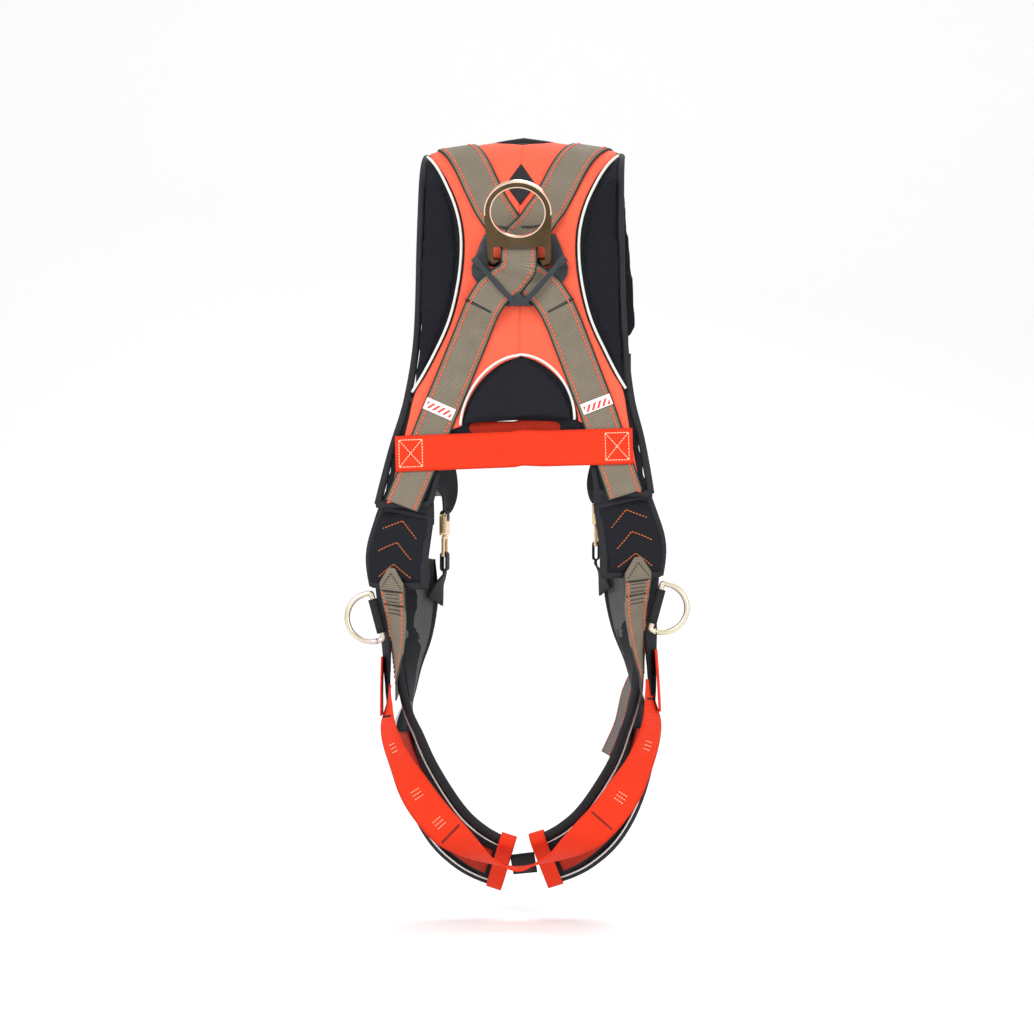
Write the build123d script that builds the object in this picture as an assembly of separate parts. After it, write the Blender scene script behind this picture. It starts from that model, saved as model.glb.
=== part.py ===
from build123d import *
from math import acos, asin, cos, hypot, pi, radians, sin
import os

os.makedirs("parts", exist_ok=True)

# Frame: millimetres, +Z up, +Y out of the wearer's chest, +X to the wearer's right hand.
# The origin is on the shoulder line, midway between the shoulders.

# ---------------------------------------------------------------- driving dimensions
WEB_WIDTH = 45.0            # fall-arrest webbing
WEB_THICK = 2.2
LAYER_GAP = 0.6             # air between layers that lie on each other
FIT_GAP = 0.4               # clearance of anything that slides on a strap

CROWN_HEIGHT = 5.0          # inside of the pad at the shoulder crown
SHOULDER_SLOPE = 0.15       # fall of the shoulders per unit of width
CROWN_RADIUS = 80.0         # arc over the shoulder
BLADE_RADIUS = 330.0        # convex arc over the shoulder blades
LUMBAR_RADIUS = 420.0       # hollow arc at the waist
CHEST_RADIUS = 400.0        # convex arc down the chest
CROWN_BACK_TURN = radians(70.0)
CROWN_FRONT_TURN = radians(70.0)
BLADE_TURN = radians(32.0)

PAD_THICK = 9.0             # foam of the vest
CLOTH_THICK = 1.2           # orange cover
CUSHION_THICK = 5.0         # side cushions and lumbar pad above the foam
PIPING_WIDTH = 3.4
PIPING_HEIGHT = 3.0
BINDING_WIDTH = 4.0
BINDING_PROUD = 2.0         # neck binding above the cover
FRONT_PAD_THICK = 11.0

SWAY = 8.0                  # how far the hips hang to the left
DROP = 7.0                  # how much lower the left hip hangs than the middle
HANG_START = 250.0
HANG_FULL = 450.0
HANG_HOLD = 560.0
HANG_END = 780.0
HANG_LEFT_OVER = 0.25

VEST_HALF = 190.0           # half width of the slabs that the vest is cut from
ABOVE = 60.0                # cutters of the vest reach this high, low, near and far
BELOW = -700.0
NEAR = -230.0
FAR = 230.0
SEAM_Y = -0.3               # the back of the vest ends here, the chest pads begin here
TALL = 400.0                # height of round cutters
SLAB_START = -40.0          # arc length where the layers of the back begin
OPEN_BELOW = -420.0         # cutters of the arch reach down to here
THROUGH = 9.0               # half reach of cutters through thin plates
NECK_RADIUS = 52.0
NECK_CENTRE_Y = 34.0

RING_EYE_R = 33.0           # dorsal D-ring
RING_BAND = 8.5
RING_THICK = 6.0
RING_LEG = 6.0
RING_LEVEL = 18.0           # pivot bar above the inside of the pad
RING_SLOT_HIGH = 18.0
RING_WEB_BAND = 14.0
RING_BAR = 9.0
RING_BASE_HALF = 38.0
RING_PIVOT_Z = -152.0
RING_LEAN = 32.0

PLATE_THICK = 3.6           # dorsal plate
PLATE_BAR_HIGH = 4.0
PLATE_BAR_WIDTH = 6.5

WAIST_Z = -386.0
WAIST_HALF = 148.0
WAIST_RISE = 5.0            # the right end sits this much above the middle

SIDE_RING_WIRE = 3.6        # radius of the forged bar

LEG_PAD_THICK = 11.0
HIP_PAD_THICK = 9.6

BUCKLE_HALF = 29.0          # quick-connect buckles
BUCKLE_THICK = 9.0
BUCKLE_LENGTH = 27.0
BLADE_HALF = 18.0
BLADE_THICK = 2.4
BLADE_IN = 15.0
TONGUE_TRAVEL = 16.0
TONGUE_FRAME = 28.0
TONGUE_THICK = 4.0
BAR_DEPTH = 4.0
TAB_PROUD = 3.0
TAB_TRAVEL = 2.0

CHEST_Z = -272.0
CHEST_WEB_WIDTH = 38.0
CHEST_LOOP_WALL = 2.0
FRONT_STRAP_X = 108.0
FRONT_STRAP_Y = 112.0
FRONT_STRAP_TOP = -196.0
FRONT_STRAP_BEND = -306.0   # below here the strap leans outwards
FRONT_STRAP_LEAN = 11.0
LEAN_RUN = 90.0
FRONT_STRAP_END = -440.0

LANYARD_WIDTH = 58.0
LANYARD_HIGH = 59.0
LANYARD_THICK = 8.4
LANYARD_CORNER = 8.0
WINDOW_HIGH = 9.0
WINDOW_WIDE = 26.0
WINDOW_PITCH = 17.5
HOLE_R = 1.7
HOLE_INSET = 5.0
HOLE_EDGE = 5.0

CLOTH_LEVEL = PAD_THICK + LAYER_GAP
WEB_LEVEL = CLOTH_LEVEL + CLOTH_THICK + LAYER_GAP
WEB_PITCH = WEB_THICK + LAYER_GAP
CROSSING_HALF = 43.0        # half of the run where the two crossing straps share one path
CROSSING_FADE = 26.0


# ---------------------------------------------------------------- the body form
def arc_centre(start, direction, distance):
    """Centre of the next arc of the form, along the normal at the place where two arcs meet."""
    return (start[0] + distance * cos(direction), start[1] + distance * sin(direction))


BACK_TURN = pi / 2 + CROWN_BACK_TURN
FRONT_TURN = pi / 2 - CROWN_FRONT_TURN
CROWN_C = (0.0, CROWN_HEIGHT - CROWN_RADIUS)
BLADE_C = arc_centre(CROWN_C, BACK_TURN, CROWN_RADIUS - BLADE_RADIUS)
LUMBAR_C = arc_centre(BLADE_C, BACK_TURN + BLADE_TURN, BLADE_RADIUS + LUMBAR_RADIUS)
CHEST_C = arc_centre(CROWN_C, FRONT_TURN, CROWN_RADIUS - CHEST_RADIUS)
S_BLADE = CROWN_RADIUS * CROWN_BACK_TURN
S_LUMBAR = S_BLADE + BLADE_RADIUS * BLADE_TURN
S_CHEST = -CROWN_RADIUS * CROWN_FRONT_TURN
S_HEM = S_LUMBAR + 240.0
S_PAD_END = S_CHEST - 175.0
S_CROSSING = S_BLADE + 101.5


def form(s, level):
    """Point (y, z) and outward normal of the form at arc length s from the crown, down the back."""
    if s < S_CHEST:
        centre, radius, angle = CHEST_C, CHEST_RADIUS + level, FRONT_TURN + (s - S_CHEST) / CHEST_RADIUS
    elif s < S_BLADE:
        centre, radius, angle = CROWN_C, CROWN_RADIUS + level, pi / 2 + s / CROWN_RADIUS
    elif s < S_LUMBAR:
        centre, radius, angle = BLADE_C, BLADE_RADIUS + level, BACK_TURN + (s - S_BLADE) / BLADE_RADIUS
    else:
        angle = BACK_TURN + BLADE_TURN - pi - (s - S_LUMBAR) / LUMBAR_RADIUS
        radius = LUMBAR_RADIUS - level
        y = LUMBAR_C[0] + radius * cos(angle)
        z = LUMBAR_C[1] + radius * sin(angle)
        return y, z, -cos(angle), -sin(angle)
    return centre[0] + radius * cos(angle), centre[1] + radius * sin(angle), cos(angle), sin(angle)


def down_back(x, z):
    """Arc length s of the point of the back form that lies at height z, x from the middle."""
    high = z + SHOULDER_SLOPE * abs(x)
    if high > form(S_BLADE, 0)[1]:
        return CROWN_RADIUS * acos(min(1.0, (high - CROWN_C[1]) / CROWN_RADIUS))
    if high > form(S_LUMBAR, 0)[1]:
        return S_BLADE + BLADE_RADIUS * (pi - asin((high - BLADE_C[1]) / BLADE_RADIUS) - BACK_TURN)
    angle = asin((high - LUMBAR_C[1]) / LUMBAR_RADIUS)
    return S_LUMBAR + LUMBAR_RADIUS * (BACK_TURN + BLADE_TURN - pi - angle)


def down_front(x, z):
    """Arc length s, below zero, of the point of the chest form at height z."""
    high = z + SHOULDER_SLOPE * abs(x)
    if high > form(S_CHEST, 0)[1]:
        return -CROWN_RADIUS * acos(min(1.0, (high - CROWN_C[1]) / CROWN_RADIUS))
    return S_CHEST + CHEST_RADIUS * (asin((high - CHEST_C[1]) / CHEST_RADIUS) - FRONT_TURN)


def hang(side, x, z):
    """Place of a point x out from the middle on one side, with the sway and drop of the hips."""
    if -z < HANG_FULL:
        share = min(1.0, max(0.0, (-z - HANG_START) / (HANG_FULL - HANG_START)))
    else:
        fade = min(1.0, max(0.0, (-z - HANG_HOLD) / (HANG_END - HANG_HOLD)))
        share = 1.0 - fade * (1.0 - HANG_LEFT_OVER)
    return side * x - SWAY * share, z + side * DROP * share


# ---------------------------------------------------------------- makers
def write(name, *solids):
    """Write one node, with its solids apart."""
    made = solids[0] if len(solids) == 1 else Compound(children=list(solids))
    made.label = name
    export_step(made, "parts/" + name + ".step")


def only(shape):
    """The single solid of a boolean result, or its largest one."""
    return sorted(shape.solids(), key=lambda solid: solid.volume)[-1]


def arcs_along(s_from, s_to, level):
    """Arcs of the form between two arc lengths, at one level."""
    marks = [s_from]
    marks += [s for s in (S_CHEST, S_BLADE, S_LUMBAR) if s_from < s < s_to]
    marks += [s_to]
    made = []
    for start, end in zip(marks, marks[1:]):
        places = [form(s, level) for s in (start, (start + end) / 2, end - 1e-9)]
        made.append(ThreePointArc(*[(0, y, z) for y, z, _, _ in places]))
    return made


def slab(s_from, s_to, low, high):
    """A layer of the vest over its whole width, falling towards both shoulders."""
    outer = arcs_along(s_from, s_to, high)
    inner = arcs_along(s_from, s_to, low)
    ends = [Line(outer[0] @ 0, inner[0] @ 0), Line(outer[-1] @ 1, inner[-1] @ 1)]
    section = Face(Wire(outer + inner + ends))
    halves = []
    for side in (-1, 1):
        run = Vector(side * VEST_HALF, 0, -SHOULDER_SLOPE * VEST_HALF)
        halves.append(Solid.extrude(section, run))
    return halves


def prism(edges, near, far):
    """A cutter with the given outline in the XZ plane, from y near to y far."""
    return Solid.extrude(Face(Wire(edges)).moved(Location((0, near, 0))), Vector(0, far - near, 0))


def trim(halves, cutter):
    """The part of both halves of a layer that the outline keeps, as one solid."""
    kept = []
    for half in halves:
        cut = half & cutter
        if cut is not None and cut.solids():
            kept.append(only(cut))
    return only(kept[0] + kept[1]) if len(kept) == 2 else kept[0]


def at(points):
    """Outline points (x, z) as points of the XZ plane."""
    return [(x, 0, z) for x, z in points]


def section_wire(centre, across, normal, width, thick):
    """A rectangular cross-section of a strap."""
    u = across * (width / 2)
    v = normal * (thick / 2)
    corners = [centre - u - v, centre + u - v, centre + u + v, centre - u + v]
    return Wire.make_polygon(corners, close=True)


def ribbon(stations, thick):
    """A flat strap through stations of (centre, direction across, width)."""
    wires = []
    count = len(stations)
    for index, (centre, across, width) in enumerate(stations):
        before = stations[max(0, index - 1)][0]
        after = stations[min(count - 1, index + 1)][0]
        along = (after - before).normalized()
        across = (across - along * across.dot(along)).normalized()
        wires.append(section_wire(centre, across, along.cross(across), width, thick))
    return Solid.make_loft(wires, ruled=True)


def flatness(s):
    """How far the cross-sections of a strap lie level at arc length s: 1 where the straps cross."""
    away = abs(s - S_CROSSING) - CROSSING_HALF
    return min(1.0, max(0.0, 1.0 - away / CROSSING_FADE))


def strap_on_form(points, width, thick, step):
    """A strap laid on the form through points of (x, s, level)."""
    fine = []
    for (x0, s0, l0), (x1, s1, l1) in zip(points, points[1:]):
        pieces = max(1, round(hypot(x1 - x0, s1 - s0) / step))
        for k in range(pieces):
            t = k / pieces
            fine.append((x0 + (x1 - x0) * t, s0 + (s1 - s0) * t, l0 + (l1 - l0) * t))
    fine.append(points[-1])
    wires = []
    for index, (x, s, level) in enumerate(fine):
        xa, sa, _ = fine[max(0, index - 1)]
        xb, sb, _ = fine[min(len(fine) - 1, index + 1)]
        length = hypot(xb - xa, sb - sa)
        dx, ds = (xb - xa) / length, (sb - sa) / length
        y, z, ny, nz = form(s, level + thick / 2)
        centre = Vector(x, y, z - SHOULDER_SLOPE * abs(x))
        fall = -SHOULDER_SLOPE * (1 if x > 0 else -1)
        across = Vector(ds, nz * dx, -ny * dx + fall * ds).normalized()
        flat = flatness(s)
        across = (across * (1 - flat) + Vector(1 if ds > 0 else -1, 0, 0) * flat).normalized()
        normal = Vector(0, ny, nz)
        normal = (normal - across * normal.dot(across)).normalized()
        wires.append(section_wire(centre, across, normal, width, thick))
    return Solid.make_loft(wires, ruled=True)


def on_back(points, side=1):
    """Points (x, z, level) of the back as points (x, s, level) of the form, hung on one side."""
    made = []
    for x, z, level in points:
        hx, hz = hang(side, x, z)
        made.append((hx, down_back(hx, hz), level))
    return made


def box(x0, x1, y0, y1, z0, z1):
    """A box between two corners."""
    return Solid.make_box(x1 - x0, y1 - y0, z1 - z0).moved(Location((x0, y0, z0)))


# ---------------------------------------------------------------- vest
def mirrored(points):
    """A closed outline from its right half, with both sides hung."""
    right = [hang(1, x, z) for x, z in points]
    left = [hang(-1, x, z) for x, z in reversed(points)]
    return right, left


HOURGLASS = [(116, -22), (94, -48), (79, -78), (70, -112), (69, -146), (74, -184), (84, -221),
             (101, -258), (117, -289), (129, -309)]
VEST_EDGE = [(125, 0), (126, -120), (130, -240), (141, -320), (156, -375), (166, -420), (171, -446)]
VEST_INNER = [(104, -446), (100, -425), (97, -404)]
ORANGE_EDGE = [(129, -309), (137, -346), (147, -396), (158, -446)]
ORANGE_INNER = [(113, -446), (102, -400), (84, -352)]
ARCH_HALF = 69.5
ARCH_TOP = -266.0
ARCH_FOOT = -352.0
ARCH_BEND = 0.77           # the arch is this share of its half width at this share of its height
ARCH_BEND_DOWN = 0.40
SEAM_GAP = 2.8
SLOT_WIDE = 115.0           # belt slot in the foam above the waist strap
SLOT_HIGH = 17.0
SLOT_TOP = -349.0
SLOT_FLOOR = 3.0            # foam left under the slot


def curve(points):
    """A smooth edge through outline points."""
    return Spline(*at(points))


def segment(start, end):
    """A straight edge between two outline points."""
    return Line(*at([start, end]))


def vest_outline(edge, inner):
    """Outline of the vest back: shoulders, outer edges, legs and the open middle below."""
    right_edge, left_edge = mirrored(edge)
    right_inner, left_inner = mirrored(inner)
    top_right = (edge[0][0], ABOVE)
    top_left = (-edge[0][0], ABOVE)
    corners = [right_edge[-1], right_inner[0]]
    edges = [segment(top_left, top_right), segment(top_right, right_edge[0]), curve(right_edge)]
    edges += [segment(*corners), curve(right_inner)]
    edges += [segment(right_inner[-1], left_inner[0]), curve(left_inner)]
    edges += [segment(left_inner[-1], left_edge[0]), curve(left_edge), segment(left_edge[-1], top_left)]
    return edges


def arch_edge(half, top, foot):
    """The arch over the lumbar pad, from its left foot to its right foot."""
    left_foot = hang(-1, half, foot)
    right_foot = hang(1, half, foot)
    crown = hang(1, 0, top)
    left_bend = hang(-1, ARCH_BEND * half, top + (foot - top) * ARCH_BEND_DOWN)
    right_bend = hang(1, ARCH_BEND * half, top + (foot - top) * ARCH_BEND_DOWN)
    return Spline(*at([left_foot, left_bend, crown, right_bend, right_foot])), left_foot, right_foot


back_cut = box(-VEST_HALF, VEST_HALF, NEAR, SEAM_Y, BELOW, ABOVE)
neck_cut = Solid.make_cylinder(NECK_RADIUS, TALL).moved(Location((0, NECK_CENTRE_Y, -TALL / 2)))


def back_layer(low, high, outline):
    """A piece of the vest back: one layer inside one outline, clear of the neck."""
    cutter = only(prism(outline, NEAR, SEAM_Y) & back_cut)
    return trim(slab(SLAB_START, S_HEM, low, high), cutter)


back_pad = only(back_layer(0, PAD_THICK, vest_outline(VEST_EDGE, VEST_INNER)) - neck_cut)
slot_left, slot_right = -SWAY - SLOT_WIDE / 2, -SWAY + SLOT_WIDE / 2
slot_corners = [(slot_left, SLOT_TOP), (slot_right, SLOT_TOP), (slot_right, SLOT_TOP - SLOT_HIGH),
                (slot_left, SLOT_TOP - SLOT_HIGH)]
slot_edges = [segment(a, b) for a, b in zip(slot_corners, slot_corners[1:] + slot_corners[:1])]
back_pad = only(back_pad - back_layer(SLOT_FLOOR, PAD_THICK + LAYER_GAP, slot_edges))
write("back_pad", back_pad)

orange_outline = vest_outline([(118, 0)] + HOURGLASS + ORANGE_EDGE[1:], ORANGE_INNER)
arch, arch_left, arch_right = arch_edge(ARCH_HALF + PIPING_WIDTH, ARCH_TOP + PIPING_WIDTH, ARCH_FOOT - 1)
arch_low_left, arch_low_right = (arch_left[0], OPEN_BELOW), (arch_right[0], OPEN_BELOW)
arch_closed = [arch, segment(arch_right, arch_low_right), segment(arch_low_right, arch_low_left),
               segment(arch_low_left, arch_left)]
back_panel = back_layer(CLOTH_LEVEL, CLOTH_LEVEL + CLOTH_THICK, orange_outline)
back_panel = only(back_panel - neck_cut)
back_panel = only(back_panel - prism(arch_closed, NEAR, SEAM_Y))
write("back_panel", back_panel)


def arch_piece(half, top, low, high):
    """A dome-shaped layer under the arch."""
    edge, left_foot, right_foot = arch_edge(half, top, ARCH_FOOT)
    return back_layer(low, high, [edge, segment(right_foot, left_foot)])


lumbar_half = ARCH_HALF - FIT_GAP
lumbar_pad = arch_piece(lumbar_half, ARCH_TOP - FIT_GAP, CLOTH_LEVEL, CLOTH_LEVEL + CUSHION_THICK)
write("lumbar_pad", lumbar_pad)
rim_outer = arch_piece(ARCH_HALF + PIPING_WIDTH - FIT_GAP, ARCH_TOP + PIPING_WIDTH - FIT_GAP,
                       CLOTH_LEVEL, CLOTH_LEVEL + PIPING_HEIGHT)
rim_inner, rim_left, rim_right = arch_edge(ARCH_HALF, ARCH_TOP, ARCH_FOOT)
rim_low_left, rim_low_right = (rim_left[0], OPEN_BELOW), (rim_right[0], OPEN_BELOW)
rim_cut = [rim_inner, segment(rim_right, rim_low_right), segment(rim_low_right, rim_low_left),
           segment(rim_low_left, rim_left)]
lumbar_piping = only(rim_outer - prism(rim_cut, NEAR, SEAM_Y))
write("lumbar_piping", lumbar_piping)


def shifted(points, by):
    """Outline points moved sideways."""
    return [(x + by, z) for x, z in points]


def one_side(side, inner, outer):
    """Closed outline between two edges of one side, both running down."""
    a = [hang(side, x, z) for x, z in inner]
    b = [hang(side, x, z) for x, z in outer]
    return [curve(a), segment(a[-1], b[-1]), curve(b), segment(b[0], a[0])]


CUSHION_EDGE = [(123, -40), (124, -120), (128, -240), (131, -288)]
for side, hand in ((-1, "left"), (1, "right")):
    seam = shifted(HOURGLASS, SEAM_GAP)
    ridge = shifted(HOURGLASS, SEAM_GAP + PIPING_WIDTH)
    bed = shifted(HOURGLASS, SEAM_GAP + 2 * FIT_GAP + PIPING_WIDTH)
    piping = back_layer(CLOTH_LEVEL, CLOTH_LEVEL + PIPING_HEIGHT, one_side(side, seam, ridge))
    write("side_piping_" + hand, piping)
    cushion = back_layer(CLOTH_LEVEL, CLOTH_LEVEL + CUSHION_THICK, one_side(side, bed[1:-1], CUSHION_EDGE))
    write("side_cushion_" + hand, cushion)

binding_ring = Solid.make_cylinder(NECK_RADIUS - FIT_GAP, TALL)
binding_ring = only(binding_ring - Solid.make_cylinder(NECK_RADIUS - BINDING_WIDTH, TALL))
binding_ring = binding_ring.moved(Location((0, NECK_CENTRE_Y, -TALL / 2)))
neck_layer = trim(slab(SLAB_START, S_BLADE, 0, CLOTH_LEVEL + CLOTH_THICK + BINDING_PROUD), back_cut)
write("neck_binding", only(neck_layer & binding_ring))

DIAMOND_HALF = 19.0
DIAMOND_HIGH = 25.0
DIAMOND_Z = -57.0
diamond = [(0, DIAMOND_Z + DIAMOND_HIGH), (DIAMOND_HALF, DIAMOND_Z), (0, DIAMOND_Z - DIAMOND_HIGH),
           (-DIAMOND_HALF, DIAMOND_Z)]
diamond_edges = [segment(a, b) for a, b in zip(diamond, diamond[1:] + diamond[:1])]
write("diamond_patch", back_layer(WEB_LEVEL, WEB_LEVEL + CLOTH_THICK, diamond_edges))

CHEST_INNER = [(52, 0), (60, -100), (66, -180), (70, -222)]
CHEST_HEM = [(70, -222), (84, -236), (128, -236), (143, -216)]
CHEST_OUTER = [(143, -216), (142, -180), (137, -120), (130, -50), (125, 0)]
front_cut = box(-VEST_HALF, VEST_HALF, -SEAM_Y, FAR, BELOW, ABOVE)
for side, hand in ((-1, "left"), (1, "right")):
    inner, hem, outer = [[(side * x, z) for x, z in part] for part in (CHEST_INNER, CHEST_HEM, CHEST_OUTER)]
    edges = [curve(inner), curve(hem), curve(outer), segment(outer[-1], (outer[-1][0], ABOVE)),
             segment((outer[-1][0], ABOVE), (inner[0][0], ABOVE)), segment((inner[0][0], ABOVE), inner[0])]
    cutter = only(prism(edges, -SEAM_Y, FAR) & front_cut)
    half = slab(S_PAD_END, -SLAB_START, 0, FRONT_PAD_THICK)[(side + 1) // 2]
    write("shoulder_pad_" + hand, only(half & cutter))


# ---------------------------------------------------------------- crossing straps
BAR_LEVEL = 24.4            # over the pivot bar of the dorsal ring
UPPER_LIFT = 4.8            # the left strap crosses this much above the right one
OVER_PLATE = WEB_LEVEL + PLATE_THICK + LAYER_GAP
STRAP_STEP = 14.0
FRONT_END_Z = -190.0


def crossing_strap(side, lift):
    """Strap from the chest over one shoulder, through the ring and plate, to the other hip."""
    start = -side
    front = [(start * x, down_front(x, z), FRONT_PAD_THICK + LAYER_GAP)
             for x, z in ((FRONT_STRAP_X, FRONT_END_Z), (104, -120), (97, -60))]
    crown = [(start * 92, -20, FRONT_PAD_THICK + LAYER_GAP), (start * 84, 24, WEB_LEVEL)]
    back = on_back([(37, -82, WEB_LEVEL), (30, -92, WEB_LEVEL + lift), (16, -112, WEB_LEVEL + lift),
                    (0, -126, WEB_LEVEL + lift), (0, -132, WEB_LEVEL + lift),
                    (0, -142, BAR_LEVEL + lift)], -side)
    back += on_back([(0, -160, BAR_LEVEL + lift), (10, -171, OVER_PLATE + lift),
                     (34, -188, OVER_PLATE + lift), (46, -206, OVER_PLATE + lift),
                     (56, -228, WEB_LEVEL), (101.5, -344, WEB_LEVEL), (139, -450, WEB_LEVEL)], side)
    return strap_on_form(front + crown + back, WEB_WIDTH, WEB_THICK, STRAP_STEP)


write("cross_strap_left", crossing_strap(-1, UPPER_LIFT))
write("cross_strap_right", crossing_strap(1, 0))


# ---------------------------------------------------------------- dorsal plate and ring
def on_layer(points, low, high):
    """A piece of one layer of the back with a straight-edged outline."""
    return back_layer(low, high, [segment(a, b) for a, b in zip(points, points[1:] + points[:1])])


def along_line(start, end, share_from, share_to, width):
    """Corners of a straight strip between two shares of a line."""
    dx, dz = end[0] - start[0], end[1] - start[1]
    length = hypot(dx, dz)
    nx, nz = -dz / length * width / 2, dx / length * width / 2
    a = (start[0] + dx * share_from, start[1] + dz * share_from)
    b = (start[0] + dx * share_to, start[1] + dz * share_to)
    return [(a[0] + nx, a[1] + nz), (b[0] + nx, b[1] + nz), (b[0] - nx, b[1] - nz), (a[0] - nx, a[1] - nz)]


RING_CLEAR = 1.4
wing_inner = RING_BASE_HALF + RING_CLEAR
plate_top = RING_PIVOT_Z - hypot(RING_BAR, RING_THICK) / 2 - RING_CLEAR
plate_right = [(wing_inner, plate_top), (wing_inner, -118), (44, -116), (50, -130), (60, -158), (59, -168),
               (53, -177), (16, -206)]
plate_outline = plate_right + [(-x, z) for x, z in reversed(plate_right)]
BAR_START = (54, -150)
BAR_END = (8, -201)
bar_low = OVER_PLATE + UPPER_LIFT + WEB_THICK + LAYER_GAP
bar_high = bar_low + PLATE_BAR_HIGH
dorsal_plate = on_layer(plate_outline, WEB_LEVEL, WEB_LEVEL + PLATE_THICK)
plate_parts = [on_layer([(0, -190), (9, -199), (14, -206), (-14, -206), (-9, -199)], WEB_LEVEL, bar_high)]
for side in (-1, 1):
    start, end = (side * BAR_START[0], BAR_START[1]), (side * BAR_END[0], BAR_END[1])
    plate_parts.append(on_layer(along_line(start, end, 0, 1, PLATE_BAR_WIDTH), bar_low, bar_high))
    post = along_line(start, end, -0.06, 0.12, PLATE_BAR_WIDTH + 2)
    plate_parts.append(on_layer(post, WEB_LEVEL, bar_high))
for piece in plate_parts:
    dorsal_plate = only(dorsal_plate + piece)
write("dorsal_plate", dorsal_plate)

slot_low = RING_BAR / 2
slot_high = slot_low + RING_SLOT_HIGH
eye_z = slot_high + RING_WEB_BAND + RING_EYE_R
ring_outer = RING_EYE_R + RING_BAND
eye_disc = Solid.make_cylinder(ring_outer, RING_THICK).moved(
    Location((0, RING_THICK / 2, eye_z), (90, 0, 0)))
base_corners = [(-ring_outer, eye_z - 2), (ring_outer, eye_z - 2), (RING_BASE_HALF, -slot_low),
                (-RING_BASE_HALF, -slot_low)]
base_plate = prism([segment(a, b) for a, b in zip(base_corners, base_corners[1:] + base_corners[:1])],
                   -RING_THICK / 2, RING_THICK / 2)
ring = only(eye_disc + base_plate)
foot_edges = [edge for edge in ring.edges().filter_by(Axis.Y) if edge.center().Z < 0]
ring = ring.fillet(slot_low - 0.5, foot_edges)
slot_half = RING_BASE_HALF - RING_LEG
slot = box(-slot_half, slot_half, -RING_THICK, RING_THICK, slot_low, slot_high)
slot = slot.fillet(RING_LEG / 2, slot.edges().filter_by(Axis.Y))
eye = Solid.make_cylinder(RING_EYE_R, 2 * RING_THICK).moved(Location((0, RING_THICK, eye_z), (90, 0, 0)))
ring = only(only(ring - slot) - eye)
ring_y = form(down_back(0, RING_PIVOT_Z), RING_LEVEL)[0]
ring_pivot = Location((0, ring_y, RING_PIVOT_Z), (RING_LEAN, 0, 0))
write("dorsal_ring", ring.moved(ring_pivot))

# ---------------------------------------------------------------- waist strap and indicator tags
waist_points = []
for share in (-1, -0.5, 0, 0.5, 1):
    x = share * WAIST_HALF - SWAY
    waist_points.append((x, down_back(x, WAIST_Z + share * WAIST_RISE), WEB_LEVEL + WEB_PITCH + 0.3))
write("waist_strap", strap_on_form(waist_points, WEB_WIDTH, WEB_THICK, 2 * WEB_WIDTH))

TAG_HIGH = 15.0
TAG_THICK = 0.8
TAG_CENTRE = (98, -330)
STRAP_RUN = (0.37, -0.93)
for side, hand in ((-1, "left"), (1, "right")):
    half = TAG_HIGH / 2
    points = on_back([(TAG_CENTRE[0] - STRAP_RUN[0] * half, TAG_CENTRE[1] - STRAP_RUN[1] * half,
                       WEB_LEVEL + WEB_PITCH),
                      (TAG_CENTRE[0] + STRAP_RUN[0] * half, TAG_CENTRE[1] + STRAP_RUN[1] * half,
                       WEB_LEVEL + WEB_PITCH)], side)
    write("indicator_tag_" + hand, strap_on_form(points, WEB_WIDTH - 6, TAG_THICK, STRAP_STEP))


# ---------------------------------------------------------------- hips and legs
def side_stations(side, places):
    """Stations of a strap of one side: (x, y, z, turn, width), where turn 0 lies flat, seen from behind,
    with the far edge inwards, 90 is edge-on and 180 is flat the other way."""
    hung = [hang(side, x, z) for x, _, z, _, _ in places]
    made = []
    for index, (_, y, _, turn, width) in enumerate(places):
        x, z = hung[index]
        xa, za = hung[max(0, index - 1)]
        xb, zb = hung[min(len(hung) - 1, index + 1)]
        length = hypot(xb - xa, zb - za)
        inward = Vector(side * (zb - za) / length, 0, -side * (xb - xa) / length)
        across = inward * cos(radians(turn)) + Vector(0, 1, 0) * sin(radians(turn))
        made.append((Vector(x, y, z), across, width))
    return made


def raised(stations, by, width):
    """The same run, lying on the rear face of a pad or strap."""
    made = []
    for index, (centre, across, _) in enumerate(stations):
        before = stations[max(0, index - 1)][0]
        after = stations[min(len(stations) - 1, index + 1)][0]
        normal = (after - before).cross(across).normalized()
        if normal.Y > 0:
            normal = normal * -1
        made.append((centre + normal * by, across, width))
    return made


HIP_PAD = [(134, -88, -452, 165, 74), (141, -86, -480, 160, 82), (148, -80, -515, 152, 92),
           (146, -74, -548, 147, 92)]
HIP_WEB = [(154, -83, -524, 147, 43), (154, -80, -548, 144, 42), (151, -69, -590, 134, 37),
           (152, -57, -628, 118, 38), (155, -48.5, -665, 98, 42), (155, -45, -692, 92, 42)]
LEG_PAD = [(132, 24, -512, 66, 78), (134, 20, -560, 60, 88), (139, 17, -610, 64, 86),
           (145, 16, -655, 78, 86), (147, 16, -700, 92, 86), (148, 17, -740, 114, 86),
           (137, 18, -786, 124, 86), (117, 18, -832, 134, 86), (94, 18, -867, 139, 86),
           (68, 18, -890, 140, 86), (44, 18, -903, 140, 84), (22, 18, -910, 140, 80)]
SEAT = [(163, -44, -676, 94, 42), (165, -46, -700, 103, 43), (166, -50, -735, 122, 45),
        (150, -54, -779, 138, 45), (126, -56, -821, 170, 45), (98, -54, -856, 172, 45),
        (70, -50, -880, 140, 45), (45, -46, -897, 112, 45), (20, -44, -907, 96, 45),
        (0, -44, -910, 90, 45)]
LEG_LINK = [(174, -24, -640, 92, 30), (176, -26, -680, 92, 32), (177, -26, -716, 92, 32)]
STRAP_TAIL = [(142, 80, -680, 72, 38), (133, 82, -700, 72, 40), (122, 82, -740, 72, 40),
              (104, 80, -778, 72, 40)]
LOOP_LENGTH = 20.0
LOOP_CLEAR = 1.0
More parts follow.
